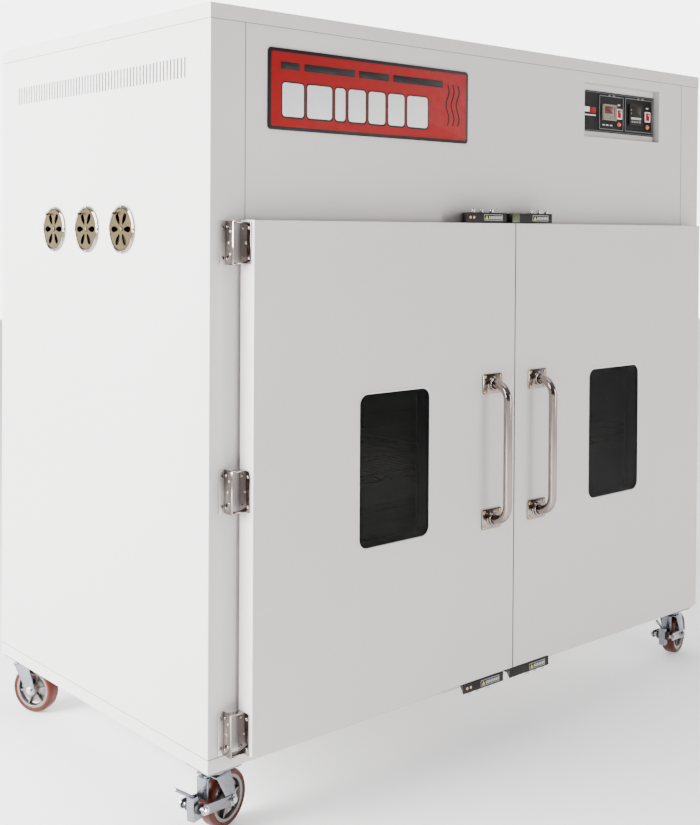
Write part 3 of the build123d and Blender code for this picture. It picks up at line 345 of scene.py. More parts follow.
NODE_SLOTS = {s["node"]: s["material_slot"] for s in frame["record"]["subparts"]}
for name, node in frame["nodes"].items():
    node.data.materials.clear()
    node.data.materials.append(MATS[NODE_SLOTS[name]])


# ---- mesh tools ----

SHARP_FROM = math.radians(40)      # edges sharper than this stay sharp


def add_piece(name, bm, mat, replaces=(), body="cabinet", slot=None):
    """Make a piece from a bmesh, give it its material and let it ride on a body."""
    bmesh.ops.remove_doubles(bm, verts=bm.verts, dist=1e-6)
    bmesh.ops.recalc_face_normals(bm, faces=bm.faces)
    mesh = bpy.data.meshes.new(name)
    bm.to_mesh(mesh)
    bm.free()
    for face in mesh.polygons:
        face.use_smooth = True
    mesh.set_sharp_from_angle(angle=SHARP_FROM)
    mesh.materials.append(MATS[mat])
    piece = bpy.data.objects.new(name, mesh)
    bpy.context.scene.collection.objects.link(piece)
    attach(piece, body)
    if replaces:
        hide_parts(*replaces)
    slot = slot or (mat if mat in SLOT_NAMES else None)


def band(bm, low, high):
    """Faces between two closed loops of vertices."""
    for k in range(len(low)):
        j = (k + 1) % len(low)
        bm.faces.new((low[k], low[j], high[j], high[k]))


def rings(bm, centre, axis, profile, count=48, caps=True):
    """Stack of rings about an axis, each (radius, height) or (radius, height, 'hex'), in millimetres.

    Without caps the last ring joins the first.
    """
    turn = axis.normalized().to_track_quat("Z", "Y").to_matrix()
    loops = []
    for radius, height, *hexed in profile:
        loop = []
        for k in range(count):
            a = 2 * math.pi * k / count
            r = radius
            if hexed:
                r = radius * math.cos(math.pi / 6) / math.cos(a % (math.pi / 3) - math.pi / 6)
            local = Vector((r * math.cos(a), r * math.sin(a), height)) * MM
            loop.append(bm.verts.new(centre + turn @ local))
        loops.append(loop)
    for low, high in zip(loops, loops[1:]):
        band(bm, low, high)
    if caps:
        bm.faces.new(loops[0][::-1])
        bm.faces.new(loops[-1])
    else:
        band(bm, loops[-1], loops[0])


def block(bm, low, high, radius):
    """Box between two corners with rounded edges, in millimetres from the body's corner."""
    made = bmesh.new()
    bmesh.ops.create_cube(made, size=1.0)
    size = [b - a for a, b in zip(low, high)]
    mid = Vector([(a + b) / 2 for a, b in zip(low, high)])
    for v in made.verts:
        v.co = Vector([c * side for c, side in zip(v.co, size)])
    radius = min(radius, min(size) * 0.45)
    bmesh.ops.bevel(made, geom=made.edges[:], offset=radius, segments=2, profile=0.5, affect="EDGES")
    for v in made.verts:
        v.co = at(*(v.co + mid))
    join(bm, made)


def join(bm, other):
    """Add another bmesh to this one."""
    mesh = bpy.data.meshes.new("joined")
    other.to_mesh(mesh)
    other.free()
    bm.from_mesh(mesh)
    bpy.data.meshes.remove(mesh)


def thicken(made, height):
    """Extrude a flat bmesh from z = 0 to a height."""
    grown = bmesh.ops.extrude_face_region(made, geom=made.faces[:])
    for v in grown["geom"]:
        if isinstance(v, bmesh.types.BMVert):
            v.co.z = height


def prism(bm, outline, place, depth, radius):
    """Plate from an outline of (u, v); place(u, v, w) gives the point in space, w from 0 to depth."""
    made = bmesh.new()
    made.faces.new([made.verts.new((u, v, 0)) for u, v in outline])
    thicken(made, depth)
    bmesh.ops.recalc_face_normals(made, faces=made.faces)
    if radius:
        rim = [e for e in made.edges if abs(e.verts[0].co.z - e.verts[1].co.z) < 1e-6]
        bmesh.ops.bevel(made, geom=rim, offset=radius, segments=2, profile=0.5, affect="EDGES")
    for v in made.verts:
        v.co = place(*v.co)
    join(bm, made)


def rounded_outline(cx, cz, width, height, radius, steps=6):
    """Rounded rectangle as (x, z, outward x, outward z), counter-clockwise."""
    points = []
    for k, (sx, sz) in enumerate([(1, 1), (-1, 1), (-1, -1), (1, -1)]):
        for step in range(steps + 1):
            a = math.pi / 2 * (k + step / steps)
            nx, nz = math.cos(a), math.sin(a)
            points.append((cx + sx * (width / 2 - radius) + radius * nx,
                           cz + sz * (height / 2 - radius) + radius * nz, nx, nz))
    return points


def round_end(points, centre, radius, start, end, steps=12):
    """Outline whose last stretch is an arc about a centre, from one angle to another in degrees."""
    angles = [math.radians(start + (end - start) * k / steps) for k in range(steps + 1)]
    return points + [(centre[0] + radius * math.cos(a), centre[1] + radius * math.sin(a)) for a in angles]


def outline_between(x0, x1, z0, z1, radius, steps=6):
    """Rounded rectangle between two x and two z."""
    return rounded_outline((x0 + x1) / 2, (z0 + z1) / 2, x1 - x0, z1 - z0, radius, steps)


def front_frame(bm, outline, y, profile):
    """Sweep a profile of (outward, depth from y) round an outline that faces the front."""
    loops = [[bm.verts.new(at(x + nx * out, y + dy, z + nz * out)) for out, dy in profile]
             for x, z, nx, nz in outline]
    for a, b in zip(loops, loops[1:] + loops[:1]):
        band(bm, a, b)


def front_plate(bm, outline, y0, y1, radius):
    """Plate that faces the front, from depth y1 forward to y0."""
    prism(bm, [p[:2] for p in outline], lambda u, v, w: at(u, y1 - w, v), y1 - y0, radius)


def tube(bm, points, radius, count):
    """Round tube along points given in space."""
    loops = []
    side = None
    for k, p in enumerate(points):
        ahead = (points[min(k + 1, len(points) - 1)] - points[max(k - 1, 0)]).normalized()
        if side is None:
            side = ahead.orthogonal().normalized()
        side = (side - ahead * side.dot(ahead)).normalized()
        other = ahead.cross(side)
        loops.append([bm.verts.new(p + (side * math.cos(a) + other * math.sin(a)) * radius * MM)
                      for a in (2 * math.pi * j / count for j in range(count))])
    for a, b in zip(loops, loops[1:]):
        band(bm, a, b)
    bm.faces.new(loops[0][::-1])
    bm.faces.new(loops[-1])


def bent(points, radius, steps=8):
    """Path through corner points with each corner rounded."""
    path = [points[0]]
    for a, b, c in zip(points, points[1:], points[2:]):
        into, out = (a - b).normalized(), (c - b).normalized()
        half = into.angle(out) / 2
        back = radius / math.tan(half)
        centre = b + (into + out).normalized() * (radius / math.sin(half))
        start, end = (b + into * back - centre) / radius, (b + out * back - centre) / radius
        for step in range(steps + 1):
            path.append(centre + start.slerp(end, step / steps) * radius)
    path.append(points[-1])
    return path


# screw heads in shares of their radius and height: domed, and straight with a socket
DOMED = [(1, 0), (1, 0.35), (0.86, 0.8), (0.6, 1), (0.46, 1, "hex"), (0.40, 0.35, "hex"), (0.05, 0.3, "hex")]
CAPPED = [(0.97, 0), (1, 0.12), (1, 0.85), (0.9, 1), (0.55, 1, "hex"), (0.5, 0.45, "hex"), (0.04, 0.4, "hex")]


def screw(bm, centre, axis, radius, height, head=DOMED):
    """Screw head with a hexagon recess."""
    rings(bm, centre, axis, [(radius * r, height * h, *hexed) for r, h, *hexed in head], 24)


def hex_bolt(bm, centre, axis, radius, height):
    """Hexagon head on a washer."""
    rings(bm, centre, axis, [(radius * 1.35, 0), (radius * 1.35, 1.4), (radius, 1.6, "hex"),
                             (radius, height * 0.85, "hex"), (radius * 0.86, height),
                             (radius * 0.1, height)], 36)


# ---- pull handles ----

DOOR_LOW, DOOR_HIGH = local_box("left_door_skin")
DOOR_FACE, DOOR_INSIDE = DOOR_LOW[1], DOOR_HIGH[1]


def pull_handle(side):
    """Polished tube in two sockets, each on a foot plate with four screws."""
    low, high = local_box(f"{side}_door_handle")
    x = (low[0] + high[0]) / 2
    tube_r, plate_h, plate_t, bend = 11.0, 50.0, 3.0, 38.0
    front = low[1] + tube_r
    feet = (low[2] + plate_h / 2, high[2] - plate_h / 2)
    body = f"{side}_door"
    bm = bmesh.new()
    path = bent([at(x, DOOR_FACE - plate_t, feet[0]), at(x, front, feet[0]), at(x, front, feet[1]),
                 at(x, DOOR_FACE - plate_t, feet[1])], bend * MM, 14)
    tube(bm, path, tube_r, 32)
    for z in feet:
        outline = rounded_outline(x, z, high[0] - low[0], plate_h, 6)
        front_plate(bm, outline, DOOR_FACE - plate_t, DOOR_FACE, 0.9)
        socket = [(16, 0), (16, 7.2), (15.4, 8.6), (14.2, 9.0), (12.6, 9.0), (11.6, 8.4), (11.0, 7.5)]
        collar = [(18.5, 0), (18.5, 0.8), (17.2, 2.0), (16.0, 2.4)]
        for profile in (socket, collar):
            rings(bm, at(x, DOOR_FACE - plate_t + 0.2, z), -Y, profile, 40)
    add_piece(f"{side}_pull_handle", bm, "handle_steel", [f"{side}_door_handle"], body)
    bm = bmesh.new()
    for z in feet:
        for sx in (-1, 1):
            for sz in (-1, 1):
                screw(bm, at(x + sx * 28, DOOR_FACE - plate_t, z + sz * 18), -Y, 4.5, 2.0)
    add_piece(f"{side}_handle_screws", bm, "screw_gold", [f"{side}_door_screws"], body)


for side in SIDES:
    pull_handle(side)


# ---- hinges ----

HINGE_MIDS = (81.0, 595.5, 1121.5)
HINGE_H, HINGE_T = 93.0, 2.0
PIN_X, PIN_Y, EAR_R = 48.0, -23.0, 8.0
WEB_X, LEAF_X = 38.0, 71.7        # the upright plates on the cabinet and on the door


def hinge_plates(side, door_half):
    """One half of the three hinges: folded mirror-polished plates with ears round the pin."""
    bm = bmesh.new()
    inset = 2.3 if door_half else 0.0
    for mid in HINGE_MIDS:
        z0, z1 = mid - HINGE_H / 2 + inset, mid + HINGE_H / 2 - inset
        if door_half:
            flat_box(bm, side, (LEAF_X, -46, z0), (LEAF_X + HINGE_T, -9, z1), 0.7)
            root, turned = LEAF_X + 1, 270
        else:
            flat_box(bm, side, (WEB_X, -31, z0), (WEB_X + HINGE_T, 0, z1), 0.7)
            root, turned = WEB_X, -90
        ear = [(root, PIN_Y - EAR_R), (root, PIN_Y + EAR_R)]
        ear = [(sided(u, side), v) for u, v in round_end(ear, (PIN_X, PIN_Y), EAR_R, 90, turned)]
        for z in (z0, z1 - HINGE_T):
            prism(bm, ear, lambda u, v, w, z=z: at(u, v, z + w), HINGE_T, 0.4)
    return bm


def flat_box(bm, side, low, high, radius):
    """Rounded box of the left side, or its twin on the right."""
    x0, x1 = sorted((sided(low[0], side), sided(high[0], side)))
    block(bm, (x0, low[1], low[2]), (x1, high[1], high[2]), radius)


bm = bmesh.new()
for side in SIDES:
    join(bm, hinge_plates(side, False))
    for mid in HINGE_MIDS:
        for end, way in ((mid - HINGE_H / 2, -1), (mid + HINGE_H / 2, 1)):
            rings(bm, at(sided(PIN_X, side), PIN_Y, end - way * 5), Z * way,
                  [(3, 0), (3, 5), (4.5, 5), (4.5, 5.9), (3.6, 6.5), (0.3, 6.5)], 24)
add_piece("hinge_brackets", bm, "mirror_steel", ["frame_hinges"])
bm = bmesh.new()
for side in SIDES:
    for mid in HINGE_MIDS:
        flat_box(bm, side, (25, -HINGE_T, mid - HINGE_H / 2), (WEB_X + HINGE_T, 0, mid + HINGE_H / 2), 0.8)
add_piece("hinge_flanges", bm, "satin_steel", ["frame_hinges"])

for side in SIDES:
    add_piece(f"{side}_hinge_leaves", hinge_plates(side, True), "mirror_steel",
              [f"{side}_door_hinge_leaves"], f"{side}_door")
    bm = bmesh.new()
    for mid in HINGE_MIDS:
        for y, z in ((-18, 32), (-40, 32), (-29, 0), (-18, -32), (-40, -32)):
            screw(bm, at(sided(LEAF_X, side), y, mid + z), X * sign(side), 3.7, 2.0)
    add_piece(f"{side}_leaf_screws", bm, "plunger_steel", [f"{side}_door_screws"], f"{side}_door")


# ---- exhaust dampers ----

DAMPER_Z = 1149.0
DAMPER_Y = {"front": 354.0, "middle": 518.0, "rear": 682.0}
PETALS, PETAL_STEPS = 6, 14
PETAL_REACH = (13.0, 42.5)        # petal's ends from the centre
DISC_HUB = 6.0


def petal_disc(bm, centre, radius, thick):
    """Round plate facing left with a ring of petal holes; centre is the middle of its outer face."""
    made = bmesh.new()
    inner, outer = PETAL_REACH
    sector = 2 * math.pi / PETALS
    radii = [DISC_HUB, *(inner + (outer - inner) * k / PETAL_STEPS for k in range(PETAL_STEPS + 1)), radius]

    def columns(r):
        """Angles of a petal's eight points at a radius; the third to the seventh span the hole."""
        share = min(1.0, max(0.0, (r - inner) / (outer - inner)))
        w = 0.25 * math.sqrt(max(0.0, math.sin(math.pi * min(1.0, 0.08 + 0.92 * share ** 0.9))))
        w = max(w, 0.02)
        return [-sector / 2, -(sector / 2 + w) / 2, *(w * k / 2 for k in range(-2, 3)), (sector / 2 + w) / 2]

    grid = [columns(r) for r in radii]
    verts = {}

    def vert(p, i, j):
        p, j = (p + j // 8) % PETALS, j % 8
        if (p, i, j) not in verts:
            a = p * sector + grid[i][j]
            verts[p, i, j] = made.verts.new((radii[i] * math.cos(a), radii[i] * math.sin(a), 0))
        return verts[p, i, j]

    for p in range(PETALS):
        for i in range(len(radii) - 1):
            for j in range(8):
                if 1 <= i <= PETAL_STEPS and 2 <= j <= 5:
                    continue
                made.faces.new((vert(p, i, j), vert(p, i + 1, j), vert(p, i + 1, j + 1), vert(p, i, j + 1)))
    centre_vert = made.verts.new((0, 0, 0))
    for p in range(PETALS):
        for j in range(8):
            made.faces.new((vert(p, 0, j), vert(p, 0, j + 1), centre_vert))
    thicken(made, -thick)
    for v in made.verts:
        v.co = centre + Vector((-v.co.z, v.co.x, v.co.y)) * MM
    join(bm, made)


RIM = [(56, 0), (56, 2.4), (55.2, 4.0), (54.2, 4.4), (53.4, 3.6), (52.8, 3.6), (52.2, 5.0), (51.2, 5.5),
       (50.2, 5.0), (49.5, 3.6), (49.5, 2.0), (52.0, 1.5)]
RIVET = [(3, 0), (3, 2.6), (6.4, 2.6), (6.2, 3.6), (5.0, 4.6), (3.0, 5.0), (0.3, 5.0)]
bm, rims = bmesh.new(), bmesh.new()
for y in DAMPER_Y.values():
    petal_disc(bm, at(-2.0, y, DAMPER_Z), 54.0, 2.0)
    rings(rims, at(0, y, DAMPER_Z), -X, RIM, 72, caps=False)
    rings(bm, at(-2.0, y, DAMPER_Z), -X, RIVET, 32)
add_piece("damper_frames", bm, "vent_brass", ["damper_plates"])
add_piece("damper_rims", rims, "mirror_steel", ["damper_plates"])

KNOB = [(3.4, 0), (2.4, 1.2), (2.2, 5.0), (3.3, 6.6), (3.5, 8.6), (2.9, 10.0), (0.3, 10.2)]
KNOB_REACH, KNOB_LEAN = 43.0, math.radians(-30)
for spot, y in DAMPER_Y.items():
    bm = bmesh.new()
    petal_disc(bm, at(-4.3, y, DAMPER_Z), 48.0, 1.7)
    knob = at(-4.1, y - KNOB_REACH * math.sin(KNOB_LEAN), DAMPER_Z + KNOB_REACH * math.cos(KNOB_LEAN))
    rings(bm, knob, -X, KNOB, 24)
    add_piece(f"damper_shutter_{spot}", bm, "vent_brass", [f"damper_disc_{spot}"], f"damper_disc_{spot}")


# ---- frame screws: hinges, dampers and catches ----

bm, dark_screws = bmesh.new(), bmesh.new()
for side in SIDES:
    for mid in HINGE_MIDS:
        for z in (-32, 32):
            screw(dark_screws, at(sided(31.5, side), -HINGE_T, mid + z), -Y, 4.0, 2.2)
        for y, z in ((-8, 34), (-20, 24), (-14, 0), (-20, -24), (-8, -34)):
            screw(bm, at(sided(WEB_X, side), y, mid + z), X * sign(side), 3.2, 1.8)
for y in DAMPER_Y.values():
    for k in range(4):
        a = k * math.pi / 2
        screw(bm, at(-5.2, y + 52.7 * math.cos(a), DAMPER_Z + 52.7 * math.sin(a)), -X, 2.8, 1.4)
CATCH_SPANS = {"left": (718.0, 865.0), "right": (884.0, 1043.0)}
CATCH_SPLIT = {"left": 763.0, "right": 947.0}
CATCH_SCREW_X = {"left": (752.0, 781.0, 819.0), "right": (970.0, 1000.0, 1030.0)}
CATCH_LEVELS = {"upper": (1172.0, 1196.0), "lower": (10.0, 34.0)}
CATCH_FRONT, CATCH_MIDDLE, CATCH_SLANT = -55.0, -45.0, 44.0
for side in CATCH_SPANS:
    for x in CATCH_SCREW_X[side]:
        screw(bm, at(x, CATCH_MIDDLE, CATCH_LEVELS["upper"][1]), Z, 5.0, 9.0, CAPPED)
        screw(bm, at(x, CATCH_MIDDLE, CATCH_LEVELS["lower"][0]), -Z, 5.0, 10.0, CAPPED)
add_piece("bright_screws", bm, "plunger_steel", ["frame_screws"])
add_piece("flange_screws", dark_screws, "mirror_steel", ["frame_screws"])


# ---- catches ----


def catch_part(bm, x0, x1, z0, z1, slanted):
    """Part of a catch housing between two x; its left side runs back to the right if slanted."""
    back = x0 + CATCH_SLANT if slanted else x0
    outline = [(x0, CATCH_FRONT), (x1, CATCH_FRONT), (max(x1, back + 0.5), -0.3), (back, -0.3)]
    prism(bm, outline, lambda u, v, w: at(u, v, z0 + w), z1 - z0, 0.9)


def catch_label(labels, left, right, mid):
    """Framed label with a yellow wedge and a row of pale bars."""
    face = CATCH_FRONT
    for mat, shrink, lift in (("label_pale", 0, 0.25), ("label_dark", 2, 0.4)):
        outline = rounded_outline((left + right) / 2, mid, right - left - shrink, 15 - shrink, 1.5)
        front_plate(labels[mat], outline, face - lift, face + 0.2, 0.1)
    wedge = [(left + 4, mid - 4.6), (left + 15, mid - 4.6), (left + 9.5, mid + 4.8)]
    prism(labels["label_yellow"], wedge, lambda u, v, w: at(u, face - 0.3 - w, v), 0.25, 0)
    x = left + 18
    while x < right - 6:
        plate = rounded_outline(x + 2.2, mid - 0.4, 4.4, 7.4, 0.8, 3)
        front_plate(labels["label_pale"], plate, face - 0.55, face, 0.1)
        x += 6.2


bm, ends, gold = (bmesh.new() for _ in range(3))
labels = {mat: bmesh.new() for mat in ("label_pale", "label_dark", "label_yellow")}
for side, (x0, x1) in CATCH_SPANS.items():
    split = CATCH_SPLIT[side]
    for level, (z0, z1) in CATCH_LEVELS.items():
        mid = (z0 + z1) / 2
        if side == "right":
            end = ends if level == "upper" else bm
            catch_part(end, x0 + 4, x0 + 31, z0, z1, True)
            button = [(7.0, -1), (7.0, 0.3), (6.3, 0.5), (5.5, -0.4), (0.2, -0.4)]
            rings(end, at(x0 + 21, CATCH_FRONT, mid), -Y, button, 32)
            catch_part(bm, x0 + 31.6, split, z0 + 0.3, z1 - 0.3, False)
        else:
            catch_part(bm, x0, split, z0, z1, True)
            for x in (x0 + 15, x0 + 28):
                screw(gold, at(x, CATCH_FRONT, mid), -Y, 3.6, 0.6)
        catch_part(bm, split + 1.2, x1, z0, z1, False)
        catch_part(bm, split - 0.5, split + 1.7, z0 + 0.8, z1 - 0.8, False)
        catch_label(labels, split + 19, x1 - 15, mid)
add_piece("catch_blocks", bm, "catch_black", ["catch_housings"])
add_piece("catch_end_blocks", ends, "bronze_green", ["catch_housings"])
for mat, made in labels.items():
    add_piece(f"catch_{mat}", made, mat)
add_piece("catch_nose_screws", gold, "screw_gold")

for side in SIDES:
    for level, way in (("upper", 1), ("lower", -1)):
        node = f"{side}_{level}_catch_plunger"
        low, high = local_box(node)
        tip = low[2] if way > 0 else high[2]
        bm = bmesh.new()
        rings(bm, at((low[0] + high[0]) / 2, (low[1] + high[1]) / 2, tip), Z * way,
              [(0.2, 0), (2.6, 0.1), (3.8, 0.6), (4.7, 1.5), (5.0, 2.6), (5.0, 14.0)], 32)
        add_piece(f"{side}_{level}_catch_pin", bm, "plunger_steel", [node], node)


# ---- name plate ----


def name_plate():
    """Screen-printed plate: dark border, red field, and a plain pattern of bars and rising-heat lines."""
    low, high = local_box("nameplate")
    cx, cz = (low[0] + high[0]) / 2, (low[2] + high[2]) / 2
    wide, tall = high[0] - low[0], high[2] - low[2]
    bm = bmesh.new()
    front_plate(bm, rounded_outline(cx, cz, wide, tall, 9), low[1] + 0.4, high[1], 0.5)
    add_piece("plate_backing", bm, "plate_border", ["nameplate"])
    bm = bmesh.new()
    front_plate(bm, rounded_outline(cx, cz, wide - 16, tall - 16, 5), low[1] + 0.1, low[1] + 1.0, 0.15)
    add_piece("plate_field", bm, "nameplate_red")
    dark, pale = bmesh.new(), bmesh.new()
    left, base = cx - wide / 2 + 34, cz - tall / 2 + 30
    x = left
    for w in (54, 150, 96, 168):
        front_plate(dark, rounded_outline(x + w / 2, cz + 52, w, 17, 3), low[1], low[1] + 0.6, 0.1)
        x += w + 12
    x = left
    for w in (70, 82, 40, 62, 62, 62, 78):
        bar = rounded_outline(x + w / 2, cz - 22, w - 10, 74, 8)
        edge = rounded_outline(x + w / 2 + 0.6, cz - 22.6, w - 2.6, 81.4, 10)
        front_plate(dark, edge, low[1] + 0.05, low[1] + 0.6, 0.1)
        front_plate(pale, bar, low[1], low[1] + 0.6, 0.1)
        x += w
    add_piece("plate_shadow_bars", dark, "plate_border")
    add_piece("plate_pale_bars", pale, "plate_white")
    waves = bmesh.new()
    for k in range(3):
        x = cx + wide / 2 - 74 + 18 * k
        line = [at(x + 5 * math.sin(t * math.pi / 8), low[1] + 0.5, cz - 48 + 4.2 * t) for t in range(25)]
        tube(waves, line, 2.4, 10)
    for v in waves.verts:
        v.co.y = max(v.co.y, CORNER.y + low[1] * MM)
    add_piece("plate_heat_lines", waves, "plate_border")


name_plate()


# ---- control panel ----

PANEL_Y = 18.0                    # face of the black panel
CONTROLLER = (1347.0, 1411.0, 1467.0, 1512.0)
TIMER = (1472.0, 1536.0, 1460.0, 1521.0)
SWITCH_X = {"heater": 1425.5, "fan": 1562.0}
SWITCH_Z, LAMP_Z = 1488.0, 1458.0


def plate_between(bm, x0, x1, z0, z1, y0, y1, corner=1.5, radius=0.3):
    """Rounded plate that faces the front, between two x, z and y."""
    front_plate(bm, outline_between(x0, x1, z0, z1, corner, 4), y0, y1, radius)


def hoop(bm, x0, x1, z0, z1, width, y0, y1, corner=2.0):
    """Flat frame of a width that faces the front."""
    outline = outline_between(x0, x1, z0, z1, corner, 4)
    front_frame(bm, outline, 0, [(0, y1), (0, y0 + 0.2), (-0.2, y0), (0.2 - width, y0), (-width, y0 + 0.2),
                                 (-width, y1)])


def mark(bm, x0, x1, z0, z1, corner):
    """Thin print on the black panel."""
    plate_between(bm, x0, x1, z0, z1, PANEL_Y - 0.3, PANEL_Y, corner)


def control_front():
    """Outlines, frames and labels on the black panel."""
    bright, pale, red = bmesh.new(), bmesh.new(), bmesh.new()
    hoop(bright, 1253, 1590, 1435, 1543, 1.0, PANEL_Y - 0.35, PANEL_Y)
    hoop(bright, 1334, 1445, 1441, 1536, 1.7, PANEL_Y - 1.8, PANEL_Y, 3)
    hoop(bright, 1454, 1586, 1441, 1537, 1.7, PANEL_Y - 1.8, PANEL_Y, 3)
    for x in (1375, 1395, 1512, 1532):
        plate_between(bright, x, x + 8, 1534, 1540, PANEL_Y - 2.2, PANEL_Y - 1, 0.8)
    mark(red, 1295, 1319, 1484, 1500, 2)
    mark(pale, 1265, 1291, 1486, 1500, 2)
    mark(pale, 1265, 1319, 1476, 1479, 1)
    for x in (1350, 1366, 1384):
        mark(pale, x, x + 11, 1452, 1455, 0.8)
    for x in (1420, 1556):
        mark(pale, x, x + 11, 1512, 1515, 0.8)
    add_piece("panel_bright_frames", bright, "keys_grey", slot="plunger_steel")
    add_piece("panel_red_marks", red, "nameplate_red")
    add_piece("panel_pale_marks", pale, "plate_white")


def controller_face():
    """Controller: two-line display, a narrow column of lit bars and four keys."""
    x0, x1, z0, z1 = CONTROLLER
    face = PANEL_Y - 5
    case, window, lit, keys = bmesh.new(), bmesh.new(), bmesh.new(), bmesh.new()
    hoop(case, x0, x1, z0, z1, 4.0, face, PANEL_Y, 3)
    plate_between(case, x0 + 3, x1 - 3, z0 + 3, z1 - 3, face + 0.7, PANEL_Y + 2, 2)
    plate_between(window, x0 + 8, x1 - 16, z1 - 26, z1 - 6, face + 0.4, face + 1.2, 1.2, 0.15)
    plate_between(window, x1 - 13, x1 - 8, z0 + 7, z1 - 6, face + 0.4, face + 1.2, 1.0, 0.15)
    for height, base, width in ((7.5, z1 - 15.5, 4.2), (4.6, z1 - 23.0, 2.8)):
        for digit in range(4):
            left = x0 + 11 + digit * (width + 3.4)
            seven_segments(lit, left, base, width, height, face + 0.2)
    for k in range(6):
        base = z0 + 9 + 4.6 * k
        plate_between(lit, x1 - 12.2, x1 - 8.8, base, base + 2.6, face + 0.2, face + 0.6, 0.5, 0.1)
    for k in range(4):
        left = x0 + 7.5 + 10.2 * k
        plate_between(keys, left, left + 7.5, z0 + 6.5, z0 + 12, face, face + 1.2, 1.4, 0.5)
    add_piece("controller_case", case, "controller_beige", ["temperature_controller"])
    add_piece("controller_windows", window, "display_red")
    add_piece("controller_segments", lit, "segment_red")
    add_piece("controller_keys", keys, "keys_grey")


def seven_segments(bm, x, z, w, h, y):
    """One lit digit made of seven short bars."""
    t = 0.9
    bars = [(0, h - t, w, t), (0, 0, w, t), (0, (h - t) / 2, w, t), (0, h / 2, t, h / 2),
            (w - t, h / 2, t, h / 2), (0, 0, t, h / 2), (w - t, 0, t, h / 2)]
    for dx, dz, wide, tall in bars:
        plate_between(bm, x + dx, x + dx + wide, z + dz, z + dz + tall, y, y + 0.5, 0.3, 0.08)


def timer_face():
    """Timer: raised square bezel, dark display, pale strip with keys, two small lamps."""
    x0, x1, z0, z1 = TIMER
    face = PANEL_Y - 4
    case, window, strip, leds, keys = (bmesh.new() for _ in range(5))
    hoop(case, x0, x1, z0, z1, 4.5, face, PANEL_Y, 3)
    plate_between(case, x0 + 3, x1 - 3, z0 + 3, z1 - 3, face + 0.8, PANEL_Y + 2, 2)
    plate_between(window, x0 + 13, x1 - 8, z0 + 27, z1 - 9, face + 0.4, face + 1.2, 1.2, 0.15)
    plate_between(strip, x0 + 8, x1 - 8, z0 + 17, z0 + 23, face + 0.5, face + 1.2, 0.8, 0.1)
    for z in (z1 - 17, z1 - 27):
        rings(leds, at(x0 + 9.5, face + 0.9, z), -Y, [(1.6, 0), (1.6, 0.7), (1.0, 1.2), (0.1, 1.3)], 20)
    for k in range(4):
        left = x0 + 9 + 12.2 * k
        plate_between(keys, left, left + 9, z0 + 7, z0 + 13.5, face, face + 1.2, 1.6, 0.5)
    add_piece("timer_case", case, "timer_dark", ["timer_unit"])
    add_piece("timer_window", window, "lcd_dark")
    add_piece("timer_strip", strip, "label_pale")
    add_piece("timer_lamps", leds, "led_green")
    add_piece("timer_keys", keys, "keys_grey")


def switches_and_lamps():
    """White switch bezels with red rockers, and a domed lamp under each."""
    bezels = bmesh.new()
    for x in SWITCH_X.values():
        outline = rounded_outline(x, SWITCH_Z, 26, 30, 2.5, 4)
        bezel = [(0, 0), (0, -2.2), (-1.0, -3), (-4.6, -2.6), (-5.0, -2.2), (-5.0, 12), (-3.2, 12), (-3.2, 0)]
        front_frame(bezels, outline, PANEL_Y, bezel)
    add_piece("switch_bezels", bezels, "switch_white", ["switch_housings"])
    for name, x in SWITCH_X.items():
        paddle, dash = bmesh.new(), bmesh.new()
        half = 10.6
        side = [(PANEL_Y - 3.5, -half)]
        for k in range(9):
            t = -1 + 2 * k / 8
            front = PANEL_Y - 4.35 - 0.85 * t + 1.0 * (1 - t * t)
            side.append((front, half * t * 0.99))
        side += [(PANEL_Y + 2, half - 1), (PANEL_Y + 5, 0), (PANEL_Y + 2, 1 - half)]
        prism(paddle, side, lambda u, v, w, x=x: at(x - 7.5 + w, u, SWITCH_Z + v), 15.0, 0.5)
        z = SWITCH_Z + 3.5
        plate_between(dash, x - 0.7, x + 0.7, z, z + 4.5, PANEL_Y - 5.25, PANEL_Y - 3.6, 0.5, 0.1)
        add_piece(f"{name}_switch_paddle", paddle, "rocker_red", [f"{name}_rocker"], f"{name}_rocker")
        add_piece(f"{name}_switch_mark", dash, "plate_white", body=f"{name}_rocker")
    rims = bmesh.new()
    for name, x, mat in (("heater", SWITCH_X["heater"], "lamp_red"), ("fan", SWITCH_X["fan"], "lamp_orange")):
        lens = bmesh.new()
        rim = [(7.0, 0), (7.0, 1.0), (6.6, 1.5), (6.0, 1.5), (5.9, 0.4)]
        rings(rims, at(x, PANEL_Y, LAMP_Z), -Y, rim, 32, caps=False)
        dome = [(5.9, 0)] + [(5.9 * math.cos(a), 1.2 + 5.2 * math.sin(a)) for a in
                             (math.radians(d) for d in (0, 18, 36, 54, 72, 88))]
        rings(lens, at(x, PANEL_Y, LAMP_Z), -Y, dome, 32)
        add_piece(f"{name}_lamp_lens", lens, mat, ["pilot_lamps"])
    add_piece("lamp_rims", rims, "plunger_steel", ["pilot_lamps"])


control_front()
controller_face()
timer_face()
switches_and_lamps()


# ---- door windows and gaskets ----

